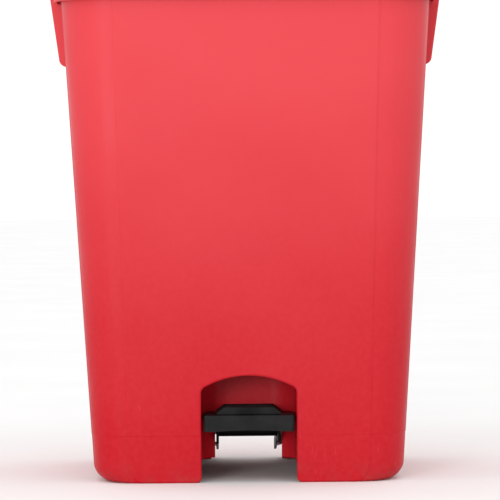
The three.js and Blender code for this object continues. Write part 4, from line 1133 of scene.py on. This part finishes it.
def dark_plastic(name, base_color, roughness, grain_scale, rub_color, rub):
    """Moulded plastic or rubber in a dark colour, rubbed lighter in patches."""
    made = Surface(name)
    rubbed = made.times(made.patches(40, 3, 0.35, 0.7), rub)
    lines = made.times(made.scratches((0.2, 1.3, 0.4), 1200, 0.8), rub)
    made.feed(made.shader["Base Color"], made.mixed(made.larger(rubbed, lines), base_color, rub_color))
    gloss = made.patches(90, 3, 0.3, 0.7, roughness - 0.07, roughness + 0.07)
    made.feed(made.shader["Roughness"], gloss)
    made.feed(made.shader["Specular IOR Level"], 0.16)
    made.bumped(made.noise(grain_scale), 0.3, 0.00012)
    return made.material


def zinc_plate(name):
    """Bright zinc on drawn steel: fine lines, clouded patches and a few dull spots."""
    made = Surface(name)
    clouds = made.patches(70, 4, 0.35, 0.65)
    spots = made.patches(420, 3, 0.66, 0.74)
    base = made.mixed(clouds, (0.5, 0.51, 0.53), (0.66, 0.67, 0.68))
    base = made.mixed(made.times(spots, 0.5), base, (0.3, 0.29, 0.27))
    made.feed(made.shader["Base Color"], base)
    made.feed(made.shader["Metallic"], 1)
    dull = made.plus(made.ramp(clouds, 0, 1, 0.26, 0.38), made.times(spots, 0.2))
    made.feed(made.shader["Roughness"], dull)
    drawn = made.noise(1.0, 2, made.stretched((1600, 1600, 60)))
    made.bumped(drawn, 0.15, 0.00005)
    return made.material


def floor_material(name):
    """A matt white floor, a little uneven in tone."""
    made = Surface(name)
    clouds = made.patches(3, 3, 0.3, 0.7)
    made.feed(made.shader["Base Color"], made.mixed(clouds, (0.88, 0.88, 0.88), (0.9, 0.9, 0.9)))
    made.feed(made.shader["Roughness"], 0.9)
    made.feed(made.shader["Specular IOR Level"], 0.1)
    return made.material


RED = red_plastic("red_polypropylene")
BLACK = dark_plastic("black_plastic", (0.004, 0.004, 0.0042), 0.5, 1500, (0.014, 0.014, 0.0145), 0.5)
RUBBER = dark_plastic("black_rubber", (0.005, 0.005, 0.0052), 0.82, 900, (0.018, 0.0175, 0.017), 0.6)
NYLON = dark_plastic("dark_nylon", (0.02, 0.02, 0.022), 0.38, 2000, (0.05, 0.05, 0.052), 0.4)
ZINC = zinc_plate("zinc_plate")


# ---- Assembly ----
finished(body_shell(), "shell", "body", RED, "body_red", "body_shell")
finished(lid_shell(), "lid", "lid", RED, "body_red", "lid_shell")
finished(pedal_lever(), "lever", "pedal", BLACK, "lever_black", "pedal_lever")
finished(tread_pad(), "tread", "pedal", RUBBER, "black_rubber", "tread_pad")
finished(push_rod(), "wire_rod", "rod", ZINC, "zinc_steel", "push_rod")
finished(bar_sleeve(), "sleeve", "rod", NYLON, "dark_nylon", "bar_sleeve")
finished(pivot_axle(), "axle", "body", ZINC, "zinc_steel", "pivot_axle")
for side, end in ((-1, "left"), (1, "right")):
    finished(hinge_pin(side), f"pin_{end}", "body", NYLON, "dark_nylon", f"hinge_pin_{end}")
    finished(axle_cap(side), f"cap_{end}", "body", NYLON, "dark_nylon", f"axle_cap_{end}")
for place in BUMPERS:
    node = f"lid_bumper_{place}"
    finished(lid_bumper(node), f"bumper_{place}", "lid", RUBBER, "black_rubber", node)

screw_under = BAND_Z - 2 * GAP - BRACKET_PLATE_T
for (x, y), place in zip(bracket_screw_places(), ("left_front", "left_rear", "right_front", "right_rear")):
    made = shifted(screw(BRACKET_SCREW_LENGTH), x, y, screw_under)
    finished(made, f"screw_bracket_{place}", "body", ZINC, "zinc_steel", f"bracket_screw_{place}")
for (x, z), place in zip(guide_screw_places(), ("lower_left", "lower_right", "upper_left", "upper_right")):
    made = moved(screw(GUIDE_SCREW_LENGTH), Matrix.Rotation(math.pi / 2, 4, "X"))
    made = tilted(shifted(made, x, -GUIDE_SCREW_DEPTH + GAP, z))
    finished(made, f"screw_guide_{place}", "body", ZINC, "zinc_steel", f"guide_screw_{place}")
screw_under = CATCH_TOP_Z - 2 * GAP - CATCH_PLATE_T
for side, place in ((-1, "left"), (1, "right")):
    made = shifted(screw(CATCH_SCREW_LENGTH), side * CATCH_SCREW_X, CATCH_SCREW_Y, screw_under)
    finished(made, f"screw_catch_{place}", "lid", ZINC, "zinc_steel", f"catch_screw_{place}")
for node in ("pivot_bracket_left", "pivot_bracket_right", "rod_guide_lower", "rod_guide_upper", "rod_catch"):
    dressed(node, BLACK)


# ---- Studio: white floor, bright room, a soft light from the left and a faint one from the right ----
def area_light(name, place, target, size, power):
    data = bpy.data.lights.new(name, "AREA")
    data.shape = "RECTANGLE"
    data.size, data.size_y = size
    data.energy = power
    light = bpy.data.objects.new(name, data)
    light.location = place
    light.rotation_euler = (Vector(target) - Vector(place)).to_track_quat("-Z", "Y").to_euler()
    bpy.context.scene.collection.objects.link(light)


def studio():
    bpy.ops.mesh.primitive_plane_add(size=40)
    floor = bpy.context.object
    floor.name = "floor"
    floor.data.materials.append(floor_material("floor_white"))
    world = bpy.data.worlds.new("studio")
    world.use_nodes = True
    world.node_tree.nodes["Background"].inputs["Color"].default_value = (1, 1, 1, 1)
    world.node_tree.nodes["Background"].inputs["Strength"].default_value = 1.1
    bpy.context.scene.world = world
    bpy.context.scene.view_settings.view_transform = "Standard"
    area_light("key", (-1.0, -3.0, 0.6), (0, 0, 0.2), (0.8, 0.8), 33)
    area_light("fill", (1.5, -2.9, 1.3), (0, 0, 0.4), (1.6, 2.0), 3)


def camera():
    """A long lens from a few metres off, as the photograph's nearly parallel edges ask for."""
    data = bpy.data.cameras.new("camera")
    data.lens = 225
    data.sensor_width = 36
    made = bpy.data.objects.new("camera", data)
    made.location = (-0.0384, -3.66, 0.3484)
    target, roll = Vector((0.0026, -0.16, 0.2614)), math.radians(-0.45)
    level = (target - made.location).to_track_quat("-Z", "Y").to_matrix()
    made.rotation_euler = (level @ Matrix.Rotation(roll, 3, "Z")).to_euler()
    bpy.context.scene.collection.objects.link(made)
    bpy.context.scene.camera = made


studio()
camera()
